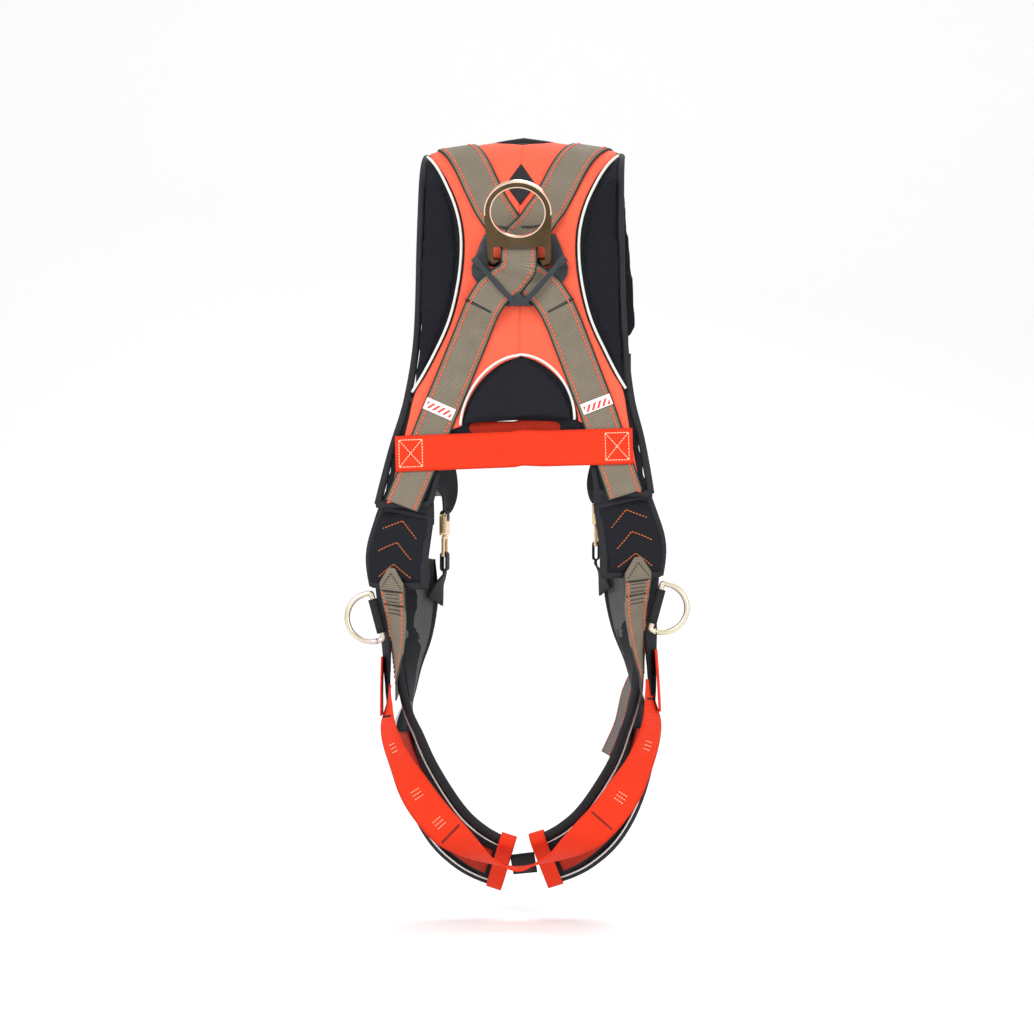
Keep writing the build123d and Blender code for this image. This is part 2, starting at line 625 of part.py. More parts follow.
LOOP_EDGE = 8.0             # room at both edges of the pad inside a crotch loop
LINK_WIDTH = 34.0
LINK_GAP = 7.0
LEG_WEB_RISE = LEG_PAD_THICK / 2 + LAYER_GAP + WEB_THICK / 2


def frame_at(station, before, after):
    """Plane at a station: x along the strap, y across it."""
    along = (after - before).normalized()
    across = (station[1] - along * along.dot(station[1])).normalized()
    return Plane(origin=station[0], x_dir=along, z_dir=along.cross(across))


def placed(solid, plane):
    """A solid made about the origin, moved to a plane."""
    return solid.moved(plane.location)


def flat_tube(length, inner_wide, inner_thick, wall):
    """A flat rectangular tube along x."""
    outer = box(-length / 2, length / 2, -inner_wide / 2 - wall, inner_wide / 2 + wall,
                -inner_thick / 2 - wall, inner_thick / 2 + wall)
    inner = box(-length, length, -inner_wide / 2, inner_wide / 2, -inner_thick / 2, inner_thick / 2)
    return only(outer - inner)


seat_left = side_stations(-1, SEAT)
seat_right = side_stations(1, SEAT)
write("seat_strap", ribbon(seat_left + seat_right[-2::-1], WEB_THICK))
loop_thick = LEG_PAD_THICK + 2 * (LAYER_GAP + WEB_THICK) + 2 * LOOP_CLEAR
link_ends = []
for side, hand in ((-1, "left"), (1, "right")):
    pad_run = side_stations(side, LEG_PAD)
    write("hip_pad_" + hand, ribbon(side_stations(side, HIP_PAD), HIP_PAD_THICK))
    write("hip_webbing_" + hand, ribbon(side_stations(side, HIP_WEB), WEB_THICK))
    write("leg_pad_" + hand, ribbon(pad_run, LEG_PAD_THICK))
    write("leg_webbing_" + hand, ribbon(raised(pad_run, LEG_WEB_RISE, WEB_WIDTH)[5:-1], WEB_THICK))
    write("leg_link_" + hand, ribbon(side_stations(side, LEG_LINK), WEB_THICK))
    last, before = pad_run[-1], pad_run[-2]
    middle = (last[0] * 0.7 + before[0] * 0.3, last[1], last[2])
    plane = frame_at(middle, before[0], last[0])
    loop = flat_tube(LOOP_LENGTH, last[2] + LOOP_EDGE, loop_thick, WEB_THICK)
    write("crotch_loop_" + hand, placed(loop, plane))
    link_ends.append((last[0] + (last[0] - before[0]).normalized() * LINK_GAP, last[1], LINK_WIDTH))
write("crotch_link", ribbon(link_ends, 2 * WEB_THICK))
write("strap_tail_right", ribbon(side_stations(1, STRAP_TAIL), WEB_THICK))


# ---------------------------------------------------------------- side rings
RING_DROOP = 15.0
SIDE_RING_R = 30.6
SIDE_RING_LEG = 8.0
RING_SEAT = (176, -52, -586)
SLEEVE_HIGH = 44.0
wire = SIDE_RING_WIRE
side_ring_outer = SIDE_RING_R + 2 * wire
ring_half_space = box(0, side_ring_outer, -THROUGH, THROUGH, -side_ring_outer, side_ring_outer)
half_round = only(Solid.make_torus(SIDE_RING_R, wire, Plane.XZ) & ring_half_space)
side_ring = half_round.moved(Location((SIDE_RING_LEG, 0, 0)))
bar = Solid.make_cylinder(wire, 2 * SIDE_RING_R).moved(Location((0, 0, -SIDE_RING_R)))
side_ring = only(side_ring + bar)
for end in (-1, 1):
    leg = Solid.make_cylinder(wire, SIDE_RING_LEG).moved(Location((0, 0, end * SIDE_RING_R), (0, 90, 0)))
    corner = Solid.make_sphere(wire).moved(Location((0, 0, end * SIDE_RING_R)))
    side_ring = only(side_ring + leg)
    side_ring = only(side_ring + corner)
sleeve_inner = wire + FIT_GAP
sleeve_outer = sleeve_inner + WEB_THICK
sleeve = box(-sleeve_outer, sleeve_outer, -sleeve_outer, sleeve_outer, -SLEEVE_HIGH / 2, SLEEVE_HIGH / 2)
sleeve_hole = Solid.make_cylinder(sleeve_inner, 2 * SLEEVE_HIGH).moved(Location((0, 0, -SLEEVE_HIGH)))
sleeve = only(sleeve - sleeve_hole)
for side, hand in ((-1, "left"), (1, "right")):
    x, z = hang(side, RING_SEAT[0], RING_SEAT[2])
    turn = 0 if side > 0 else 180
    seat = Location((x, RING_SEAT[1], z), (0, side * RING_DROOP, 0)) * Location((0, 0, 0), (0, 0, turn))
    write("side_ring_" + hand, side_ring.moved(seat))
    write("side_ring_loop_" + hand, sleeve.moved(seat))


# ---------------------------------------------------------------- quick-connect buckles
# Local axes: x along the pull, away from the receiver; y across the strap; z through the buckle.
RAIL_IN = WEB_WIDTH / 2 + 1.0
TAB_LENGTH = 9.0
TAB_DEEP = 3.0
TAB_START = -BLADE_IN + 2.0
BLADE_ROOM = 3.0            # between the tip of the blade and the webbing slot
RECEIVER_BAR_THICK = 4.0


def receiver(tab_ends):
    """Receiver: mouth at x = 0, webbing bar at the far end, a pocket for each release tab."""
    body = box(-BUCKLE_LENGTH, 0, -BUCKLE_HALF, BUCKLE_HALF, -BUCKLE_THICK / 2, BUCKLE_THICK / 2)
    body = body.fillet(3.0, body.edges().filter_by(Axis.Z))
    slot = box(-BUCKLE_LENGTH + BAR_DEPTH, -BLADE_IN - BLADE_ROOM, -RAIL_IN, RAIL_IN, -THROUGH, THROUGH)
    mouth = box(-BLADE_IN - BLADE_ROOM / 3, 1, -BLADE_HALF - FIT_GAP, BLADE_HALF + FIT_GAP,
                -BLADE_THICK / 2 - FIT_GAP, BLADE_THICK / 2 + FIT_GAP)
    thin = RECEIVER_BAR_THICK / 2
    over = box(-BUCKLE_LENGTH - 1, -BUCKLE_LENGTH + BAR_DEPTH + 1, -RAIL_IN, RAIL_IN, thin, THROUGH)
    under = box(-BUCKLE_LENGTH - 1, -BUCKLE_LENGTH + BAR_DEPTH + 1, -RAIL_IN, RAIL_IN, -THROUGH, -thin)
    for cut in (slot, mouth, over, under):
        body = only(body - cut)
    for end in tab_ends:
        low, high = sorted((end * (BLADE_HALF + FIT_GAP - 0.1), end * (BUCKLE_HALF + 1)))
        pocket = box(TAB_START - FIT_GAP, TAB_START + TAB_LENGTH + FIT_GAP, low, high,
                     -TAB_DEEP / 2 - FIT_GAP, TAB_DEEP / 2 + FIT_GAP)
        body = only(body - pocket)
    return body


def release_tab(end):
    """One release tab, standing proud of the receiver's side."""
    inner = BLADE_HALF + FIT_GAP + TAB_TRAVEL + LAYER_GAP
    low, high = sorted((end * inner, end * (BUCKLE_HALF + TAB_PROUD)))
    tab = box(TAB_START, TAB_START + TAB_LENGTH, low, high, -TAB_DEEP / 2, TAB_DEEP / 2)
    outer = [edge for edge in tab.edges().filter_by(Axis.Z) if abs(edge.center().Y) > BUCKLE_HALF]
    return tab.fillet(1.2, outer)


def tongue():
    """Tongue: a blade in the receiver and a frame with a webbing bar."""
    blade = box(-BLADE_IN, 2, -BLADE_HALF, BLADE_HALF, -BLADE_THICK / 2, BLADE_THICK / 2)
    blade = blade.fillet(4.0, [e for e in blade.edges().filter_by(Axis.Z) if e.center().X < 0])
    frame = box(1, TONGUE_FRAME, -BUCKLE_HALF, BUCKLE_HALF, -TONGUE_THICK / 2, TONGUE_THICK / 2)
    frame = frame.fillet(3.0, frame.edges().filter_by(Axis.Z))
    window = box(1 + BAR_DEPTH, TONGUE_FRAME - BAR_DEPTH, -RAIL_IN, RAIL_IN, -THROUGH, THROUGH)
    return only(only(frame - window) + blade)


def belt_loop(fold, end, bar_thick, width, way):
    """Webbing folded round a bar: a flat tube open at both sides, closed at the fold and at its end."""
    gap = bar_thick / 2 + FIT_GAP
    x0, x1 = sorted((fold, end))
    outer = box(x0, x1, -width / 2, width / 2, -gap - WEB_THICK, gap + WEB_THICK)
    c0, c1 = sorted((fold + way * WEB_THICK, end - way * WEB_THICK))
    return only(outer - box(c0, c1, -width, width, -gap, gap))


def buckle_nodes(name, plane, tabs):
    """Write one buckle at its place, with a release tab at each named end."""
    write(name + "_receiver", placed(receiver([end for _, end in tabs]), plane))
    write(name + "_tongue", placed(tongue(), plane))
    for tab_name, end in tabs:
        write(tab_name, placed(release_tab(end), plane))


RECEIVER_FOLD = -BUCKLE_LENGTH + BAR_DEPTH + FIT_GAP + WEB_THICK
TONGUE_FOLD = TONGUE_FRAME - BAR_DEPTH - FIT_GAP - WEB_THICK
TONGUE_LOOP_END = TONGUE_FRAME + TONGUE_TRAVEL + FIT_GAP + WEB_THICK
RECEIVER_LOOP_END = -BUCKLE_LENGTH - 5.0

# ---------------------------------------------------------------- front straps, chest strap, lanyard plates
CHEST_ROOM = 1.4            # room beside the strap inside the chest loop
SLIDE_ROOM = 0.6            # room in front of and behind the strap inside the chest loop
front_centre = FRONT_STRAP_X + FRONT_STRAP_LEAN / 2


def lanyard_plate():
    """Moulded plate threaded on the front strap: two windows and four corner holes. Local x runs down."""
    plate = box(-LANYARD_HIGH / 2, LANYARD_HIGH / 2, -LANYARD_WIDTH / 2, LANYARD_WIDTH / 2,
                -LANYARD_THICK / 2, LANYARD_THICK / 2)
    plate = plate.fillet(LANYARD_CORNER, plate.edges().filter_by(Axis.Z))
    strap_way = box(-LANYARD_HIGH, LANYARD_HIGH, -WEB_WIDTH / 2 - FIT_GAP, WEB_WIDTH / 2 + FIT_GAP,
                    -WEB_THICK / 2 - FIT_GAP, WEB_THICK / 2 + FIT_GAP)
    plate = only(plate - strap_way)
    for end in (-1, 1):
        window = box(-WINDOW_HIGH / 2, WINDOW_HIGH / 2, -WINDOW_WIDE / 2, WINDOW_WIDE / 2, -THROUGH, THROUGH)
        window = window.fillet(WINDOW_HIGH / 2 - 0.1, window.edges().filter_by(Axis.Z))
        plate = only(plate - window.moved(Location((end * WINDOW_PITCH / 2, 0, 0))))
        for edge in (-1, 1):
            spot = (end * (LANYARD_HIGH / 2 - HOLE_INSET), edge * (LANYARD_WIDTH / 2 - HOLE_EDGE), -THROUGH)
            plate = only(plate - Solid.make_cylinder(HOLE_R, 2 * THROUGH).moved(Location(spot)))
    return plate


def chest_half(side, fold, end, bar_thick):
    """One half of the chest strap: loop round the front strap, band, and fold round the buckle's bar."""
    half_high = CHEST_WEB_WIDTH / 2
    hollow = WEB_WIDTH / 2 + CHEST_ROOM
    inner_deep = WEB_THICK / 2 + SLIDE_ROOM
    outer = box(-hollow - CHEST_LOOP_WALL, hollow + CHEST_LOOP_WALL, -inner_deep - CHEST_LOOP_WALL,
                inner_deep + CHEST_LOOP_WALL, -half_high, half_high)
    loop = only(outer - box(-hollow, hollow, -inner_deep, inner_deep, -WEB_WIDTH, WEB_WIDTH))
    loop = loop.moved(Location((side * FRONT_STRAP_X, FRONT_STRAP_Y, CHEST_Z)))
    near, far = sorted((side * (FRONT_STRAP_X - hollow - 1), side * (abs(end) - 1)))
    band = box(near, far, FRONT_STRAP_Y - WEB_THICK / 2, FRONT_STRAP_Y + WEB_THICK / 2,
               CHEST_Z - half_high, CHEST_Z + half_high)
    way = 1 if end > fold else -1
    folded = placed(belt_loop(fold, end, bar_thick, CHEST_WEB_WIDTH, way), chest_plane)
    return only(only(loop + band) + folded)


chest_plane = Plane(origin=(0, FRONT_STRAP_Y, CHEST_Z), x_dir=(-1, 0, 0), z_dir=(0, 1, 0))
buckle_nodes("chest_buckle", chest_plane, [("chest_release_upper", 1), ("chest_release_lower", -1)])
write("chest_strap_left", chest_half(-1, TONGUE_FOLD, TONGUE_LOOP_END, TONGUE_THICK))
write("chest_strap_right", chest_half(1, RECEIVER_FOLD, RECEIVER_LOOP_END, RECEIVER_BAR_THICK))

LEG_BUCKLE = (98.0, 45.0, -484.0)
strap_over = LEG_BUCKLE[2] - RECEIVER_LOOP_END
strap_under = LEG_BUCKLE[2] - TONGUE_LOOP_END
LEG_STRAP = [(119, 103, -374, 4, 45), (114, 94, -392, 18, 45), (106, 76, -414, 42, 45),
             (100, 56, -434, 72, 45), (LEG_BUCKLE[0], LEG_BUCKLE[1], strap_over + 6, 90, 45),
             (LEG_BUCKLE[0], LEG_BUCKLE[1], strap_over + LAYER_GAP, 90, 45)]
LEG_RISER = [(LEG_BUCKLE[0], LEG_BUCKLE[1], strap_under + 1, 90, 44.4),
             (LEG_BUCKLE[0], LEG_BUCKLE[1], strap_under - 6, 90, 44.4),
             (104, 42, -550, 80, 45), (110, 38, -570, 66, 45)]
for side, hand in ((-1, "left"), (1, "right")):
    places = [(FRONT_STRAP_X, FRONT_STRAP_TOP), (FRONT_STRAP_X, FRONT_STRAP_BEND),
              (FRONT_STRAP_X + FRONT_STRAP_LEAN, FRONT_STRAP_BEND - LEAN_RUN),
              (FRONT_STRAP_X + FRONT_STRAP_LEAN, FRONT_STRAP_END)]
    run = [(Vector(side * x, FRONT_STRAP_Y, z), Vector(1, 0, 0), WEB_WIDTH) for x, z in places]
    write("front_strap_" + hand, ribbon(run, WEB_THICK))
    down = Vector(side * FRONT_STRAP_LEAN, 0, -LEAN_RUN).normalized()
    plate_plane = Plane(origin=(side * front_centre, FRONT_STRAP_Y, FRONT_STRAP_BEND - LEAN_RUN / 2),
                        x_dir=down, z_dir=(0, -1, 0))
    write("lanyard_plate_" + hand, placed(lanyard_plate(), plate_plane))
    x, z = hang(side, LEG_BUCKLE[0], LEG_BUCKLE[2])
    plane = Plane(origin=(x, LEG_BUCKLE[1], z), x_dir=(0, 0, -1), z_dir=(side, 0, 0))
    buckle_nodes("leg_buckle_" + hand, plane, [("leg_release_" + hand, side)])
    upper = placed(belt_loop(RECEIVER_FOLD, RECEIVER_LOOP_END, RECEIVER_BAR_THICK, WEB_WIDTH, -1), plane)
    lower = placed(belt_loop(TONGUE_FOLD, TONGUE_LOOP_END, TONGUE_THICK, WEB_WIDTH, 1), plane)
    write("leg_strap_" + hand, upper, ribbon(side_stations(side, LEG_STRAP), WEB_THICK))
    write("leg_riser_" + hand, only(lower + ribbon(side_stations(side, LEG_RISER), WEB_THICK)))
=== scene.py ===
import math

import bmesh
import bpy
from mathutils import Matrix, Vector, noise


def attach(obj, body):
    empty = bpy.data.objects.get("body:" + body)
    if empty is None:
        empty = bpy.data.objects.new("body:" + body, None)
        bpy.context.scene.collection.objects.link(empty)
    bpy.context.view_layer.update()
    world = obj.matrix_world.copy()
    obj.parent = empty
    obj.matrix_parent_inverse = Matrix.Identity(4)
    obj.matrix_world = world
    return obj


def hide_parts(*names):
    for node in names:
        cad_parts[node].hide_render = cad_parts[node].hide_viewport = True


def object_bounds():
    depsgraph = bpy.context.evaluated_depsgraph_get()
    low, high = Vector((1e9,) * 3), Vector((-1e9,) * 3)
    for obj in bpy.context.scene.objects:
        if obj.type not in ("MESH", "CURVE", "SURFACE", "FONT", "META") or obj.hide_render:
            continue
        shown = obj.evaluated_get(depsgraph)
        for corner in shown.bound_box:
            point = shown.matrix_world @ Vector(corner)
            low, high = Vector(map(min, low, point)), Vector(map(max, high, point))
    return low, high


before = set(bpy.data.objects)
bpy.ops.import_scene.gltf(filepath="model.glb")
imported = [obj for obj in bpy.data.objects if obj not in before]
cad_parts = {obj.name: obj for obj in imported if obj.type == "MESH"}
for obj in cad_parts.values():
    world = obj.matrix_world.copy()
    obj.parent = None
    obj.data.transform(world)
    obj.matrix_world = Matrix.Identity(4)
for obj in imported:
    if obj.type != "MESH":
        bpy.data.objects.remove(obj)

bl_info = {
    "name": "Fall-arrest harness",
    "version": (1, 0, 0),
    "blender": (4, 5, 0),
    "location": "View3D > Sidebar > Harness",
    "description": "Makes the webbing, pads, stitching and hardware of a full-body harness round its frame",
    "category": "Object",
}

MM = 0.001
CAD_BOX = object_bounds()
ROOT = "harness"
SIDES = ((-1, "left"), (1, "right"))

# ---------------------------------------------------------------- sizes of the frame, in millimetres
WEB_WIDTH = 45.0
WEB_THICK = 2.2
LAYER_GAP = 0.6
CROWN_HEIGHT = 5.0
SHOULDER_SLOPE = 0.15
CROWN_RADIUS = 80.0
BLADE_RADIUS = 330.0
LUMBAR_RADIUS = 420.0
CHEST_RADIUS = 400.0
CROWN_TURN = math.radians(70.0)
BLADE_TURN = math.radians(32.0)
PAD_THICK = 9.0
CLOTH_THICK = 1.2
FRONT_PAD_THICK = 11.0
SWAY = 8.0
DROP = 7.0
HANG_START, HANG_FULL, HANG_HOLD, HANG_END = 250.0, 450.0, 560.0, 780.0
HANG_LEFT_OVER = 0.25
NECK_RADIUS = 52.0
NECK_CENTRE_Y = 34.0
COVER_NECK_RADIUS = 38.3
COVER_NECK_Y = -4.7
CLOTH_LEVEL = PAD_THICK + LAYER_GAP
WEB_LEVEL = CLOTH_LEVEL + CLOTH_THICK + LAYER_GAP
WEB_PITCH = WEB_THICK + LAYER_GAP
BAR_LEVEL = 24.4
UPPER_LIFT = 4.8
PLATE_THICK = 3.6
OVER_PLATE = WEB_LEVEL + PLATE_THICK + LAYER_GAP
LEG_PAD_THICK = 11.0
HIP_PAD_THICK = 9.6
VEST_FOOT = -446            # height of the lower ends of the vest
WAIST_Z, WAIST_HALF, WAIST_RISE = -386, 148, 5
TAG_X, TAG_Z, TAG_HALF = 98, -330, 7.5
STRAP_RUN = (0.37, 0.93)    # how a crossing strap runs where its label sits
FRONT_TOP, FRONT_END = -196, -440
RIB_PITCH = 2.6             # ribs of the webbing
PIPING_RADIUS = 1.75
EDGE_RADIUS = 4.6           # bound edges of the vest
INNER_EDGE_RADIUS = 4.4
HIP_EDGE_RADIUS = 5.2
LEG_EDGE_RADIUS = 5.4
BOX_HALF = 17               # half width of a sewn box or bar tack
STITCH_LIFT = 0.1           # stitches on flat straps stand this far off the cloth

HOURGLASS = [(116, -22), (94, -48), (79, -78), (70, -112), (69, -146), (74, -184), (84, -221),
             (101, -258), (117, -289), (129, -309)]
ORANGE_EDGE = [(118, 0)] + HOURGLASS + [(137, -346), (147, -396), (158, -446)]
VEST_EDGE = [(125, 0), (126, -120), (130, -240), (141, -320), (156, -375), (166, -420), (171, -446)]
VEST_INNER = [(97, -404), (100, -425), (104, -446)]
LEG_INNER = [(84, -356), (102, -400), (113, -446)]
ARCH_HALF = 69.5
ARCH_TOP, ARCH_FOOT = -266.0, -352.0
ARCH_POWER = 1.86
PIPING_WIDTH = 3.4
SEAM_GAP = 2.8

HIP_PAD = [(134, -88, -452, 165, 74), (141, -86, -480, 160, 82), (148, -80, -515, 152, 92),
           (146, -74, -548, 147, 92)]
HIP_WEB = [(154, -83, -524, 147, 43), (154, -80, -548, 144, 42), (151, -69, -590, 134, 37),
           (152, -57, -628, 118, 38), (155, -48.5, -665, 98, 42), (155, -45, -692, 92, 42)]
HIP_JOINT = [(131, -94, -436, 168, 64), (133, -90, -450, 166, 70), (135, -87, -462, 165, 74)]
HIP_SIDE = [(164, -52, -530, 140, 40), (166, -42, -560, 130, 40), (167, -34, -600, 118, 38),
            (168, -30, -650, 108, 36), (168, -28, -690, 102, 34), (166, -28, -725, 100, 30)]
LEG_PAD = [(132, 24, -512, 66, 78), (134, 20, -560, 60, 88), (139, 17, -610, 64, 86),
           (145, 16, -655, 78, 86), (147, 16, -700, 92, 86), (148, 17, -740, 114, 86),
           (137, 18, -786, 124, 86), (117, 18, -832, 134, 86), (94, 18, -867, 139, 86), (68, 18, -890, 140, 86),
           (44, 18, -903, 140, 84), (22, 18, -910, 140, 80)]
SEAT = [(163, -44, -676, 94, 42), (165, -46, -700, 103, 43), (166, -50, -735, 122, 45),
        (150, -54, -779, 138, 45), (126, -56, -821, 170, 45), (98, -54, -856, 172, 45),
        (70, -50, -880, 140, 45), (45, -46, -897, 112, 45), (20, -44, -907, 96, 45), (0, -44, -910, 90, 45)]
LEG_LINK = [(174, -24, -640, 92, 30), (176, -26, -680, 92, 32), (177, -26, -716, 92, 32)]
STRAP_TAIL = [(142, 80, -680, 72, 38), (133, 82, -700, 72, 40), (122, 82, -740, 72, 40),
              (104, 80, -778, 72, 40)]
RING_SEAT = (176, -52, -586)
RING_DROOP = math.radians(15.0)
RING_EYE = (0.0, -0.149791, -0.093061)
RING_AXIS = (0.0, -0.848048, -0.529919)
SIDE_RING_R = 30.6
SIDE_RING_LEG = 8.0
SIDE_RING_WIRE = 3.6
SLEEVE_HIGH = 44.0
LEG_BUCKLE = (98.0, 45.0, -484.0)
CHEST_Z = -272.0
CHEST_WEB_WIDTH = 38.0
FRONT_STRAP_X, FRONT_STRAP_Y = 108.0, 112.0
FRONT_LEAN, LEAN_RUN = 11.0, 90.0
FRONT_BEND = -306.0


# ---------------------------------------------------------------- the body form
def arc_centre(start, direction, distance):
    """Centre of the next arc of the form, along the normal at the place where two arcs meet."""
    return (start[0] + distance * math.cos(direction), start[1] + distance * math.sin(direction))


BACK_TURN = math.pi / 2 + CROWN_TURN
FRONT_TURN = math.pi / 2 - CROWN_TURN
CROWN_C = (0.0, CROWN_HEIGHT - CROWN_RADIUS)
BLADE_C = arc_centre(CROWN_C, BACK_TURN, CROWN_RADIUS - BLADE_RADIUS)
LUMBAR_C = arc_centre(BLADE_C, BACK_TURN + BLADE_TURN, BLADE_RADIUS + LUMBAR_RADIUS)
CHEST_C = arc_centre(CROWN_C, FRONT_TURN, CROWN_RADIUS - CHEST_RADIUS)
S_BLADE = CROWN_RADIUS * CROWN_TURN
S_LUMBAR = S_BLADE + BLADE_RADIUS * BLADE_TURN
S_CHEST = -CROWN_RADIUS * CROWN_TURN
S_CROSSING = S_BLADE + 101.5
CROSSING_HALF = 43.0
CROSSING_FADE = 26.0


def form(s, level):
    """Point (y, z) and outward normal of the form at arc length s from the crown, down the back."""
    if s < S_CHEST:
        centre, radius, angle = CHEST_C, CHEST_RADIUS + level, FRONT_TURN + (s - S_CHEST) / CHEST_RADIUS
    elif s < S_BLADE:
        centre, radius, angle = CROWN_C, CROWN_RADIUS + level, math.pi / 2 + s / CROWN_RADIUS
    elif s < S_LUMBAR:
        centre, radius, angle = BLADE_C, BLADE_RADIUS + level, BACK_TURN + (s - S_BLADE) / BLADE_RADIUS
    else:
        angle = BACK_TURN + BLADE_TURN - math.pi - (s - S_LUMBAR) / LUMBAR_RADIUS
        radius = LUMBAR_RADIUS - level
        y = LUMBAR_C[0] + radius * math.cos(angle)
        return y, LUMBAR_C[1] + radius * math.sin(angle), -math.cos(angle), -math.sin(angle)
    y = centre[0] + radius * math.cos(angle)
    return y, centre[1] + radius * math.sin(angle), math.cos(angle), math.sin(angle)


def down_back(x, z):
    """Arc length s of the point of the back form at height z, x from the middle."""
    high = z + SHOULDER_SLOPE * abs(x)
    if high > form(S_BLADE, 0)[1]:
        return CROWN_RADIUS * math.acos(min(1.0, (high - CROWN_C[1]) / CROWN_RADIUS))
    if high > form(S_LUMBAR, 0)[1]:
        return S_BLADE + BLADE_RADIUS * (math.pi - math.asin((high - BLADE_C[1]) / BLADE_RADIUS) - BACK_TURN)
    angle = math.asin((high - LUMBAR_C[1]) / LUMBAR_RADIUS)
    return S_LUMBAR + LUMBAR_RADIUS * (BACK_TURN + BLADE_TURN - math.pi - angle)


def down_front(x, z):
    """Arc length s, below zero, of the point of the chest form at height z."""
    high = z + SHOULDER_SLOPE * abs(x)
    if high > form(S_CHEST, 0)[1]:
        return -CROWN_RADIUS * math.acos(min(1.0, (high - CROWN_C[1]) / CROWN_RADIUS))
    return S_CHEST + CHEST_RADIUS * (math.asin((high - CHEST_C[1]) / CHEST_RADIUS) - FRONT_TURN)


def hang(side, x, z):
    """Place of a point x out from the middle on one side, with the sway and drop of the hips."""
    if -z < HANG_FULL:
        share = min(1.0, max(0.0, (-z - HANG_START) / (HANG_FULL - HANG_START)))
    else:
        fade = min(1.0, max(0.0, (-z - HANG_HOLD) / (HANG_END - HANG_HOLD)))
        share = 1.0 - fade * (1.0 - HANG_LEFT_OVER)
    return side * x - SWAY * share, z + side * DROP * share


def on_form(x, s, level):
    """A point of the form, in millimetres."""
    y, z, _, _ = form(s, level)
    return Vector((x, y, z - SHOULDER_SLOPE * abs(x)))


def on_back(points, side=1):
    """Points (x, z, level) of the back as (x, s, level) of the form, hung on one side."""
    hung = [(*hang(side, x, z), level) for x, z, level in points]
    return [(x, down_back(x, z), level) for x, z, level in hung]


def through(points, at):
    """Smooth value at a place of a list of (place, value), in rising order."""
    at = min(max(at, points[0][0]), points[-1][0])
    index = max(i for i in range(len(points) - 1) if points[i][0] <= at)
    slopes = []
    for i in (index, index + 1):
        a, b = points[max(0, i - 1)], points[min(len(points) - 1, i + 1)]
        slopes.append((b[1] - a[1]) / (b[0] - a[0]))
    (p0, v0), (p1, v1) = points[index], points[index + 1]
    run = p1 - p0
    t = (at - p0) / run
    ease = t * t * (3 - 2 * t)
    bow = run * (slopes[0] * t * (1 - t) ** 2 - slopes[1] * t * t * (1 - t))
    return v0 + (v1 - v0) * ease + bow


def outline(side, points):
    """An outline of one side as (arc length, x) pairs."""
    hung = [hang(side, x, z) for x, z in points]
    return [(down_back(x, z), x) for x, z in hung]


# ---------------------------------------------------------------- straps
class Band:
    """The middle surface of a strap: its centres, the directions across it and its outward normals."""

    def __init__(self, centres, across, widths, hint):
        self.centres, self.widths, self.across, self.normals, self.marks = centres, widths, [], [], [0.0]
        last = len(centres) - 1
        for index, centre in enumerate(centres):
            along = (centres[min(last, index + 1)] - centres[max(0, index - 1)]).normalized()
            side = (across[index] - along * along.dot(across[index])).normalized()
            normal = along.cross(side)
            if normal.dot(self.normals[-1] if self.normals else hint) < 0:
                normal = -normal
            self.across.append(side)
            self.normals.append(normal)
            if index:
                self.marks.append(self.marks[-1] + (centre - centres[index - 1]).length)
        self.length = self.marks[-1]

    def at(self, along):
        """Centre, direction across, normal and width at a distance along."""
        along = min(max(along, 0.0), self.length)
        index = 0
        while index < len(self.marks) - 2 and self.marks[index + 1] < along:
            index += 1
        t = (along - self.marks[index]) / (self.marks[index + 1] - self.marks[index])

        def mix(row):
            return row[index] * (1 - t) + row[index + 1] * t

        across, normal = mix(self.across).normalized(), mix(self.normals).normalized()
        return mix(self.centres), across, normal, mix(self.widths)

    def point(self, along, out, lift=0.0):
        """A point, in metres, at a distance along, a distance out from the middle, and a lift."""
        centre, across, normal, _ = self.at(along)
        return (centre + across * out + normal * lift) * MM

    def near(self, x, z):
        """Distance along of the place nearest to a point seen from behind."""
        gaps = [(math.hypot(c.x - x, c.z - z), mark) for c, mark in zip(self.centres, self.marks)]
        return min(gaps)[1]

    def spot(self, x, z):
        """Distance along and distance out of the point of the strap that is seen at (x, z) from behind."""
        along = self.near(x, z)
        centre, across, _, _ = self.at(along)
        return along, (x - centre.x) * across.x + (z - centre.z) * across.z


def spread(values, pieces):
    """Catmull-Rom refinement of a row of numbers or vectors."""
    made = []
    last = len(values) - 1
    for index in range(last):
        a, b = values[max(0, index - 1)], values[index]
        c, d = values[index + 1], values[min(last, index + 2)]
        for k in range(pieces):
            t = k / pieces
            made.append((b * 2 + (c - a) * t + (a * 2 - b * 5 + c * 4 - d) * t ** 2
                         + (b * 3 - a - c * 3 + d) * t ** 3) * 0.5)
    return made + [values[-1]]


def eased(rows, passes):
    """A row of tuples with its kinks eased."""
    for _ in range(passes):
        inner = [tuple((a + 2 * b + c) / 4 for a, b, c in zip(*three))
                 for three in zip(rows, rows[1:], rows[2:])]
        rows = [rows[0]] + inner + [rows[-1]]
    return rows


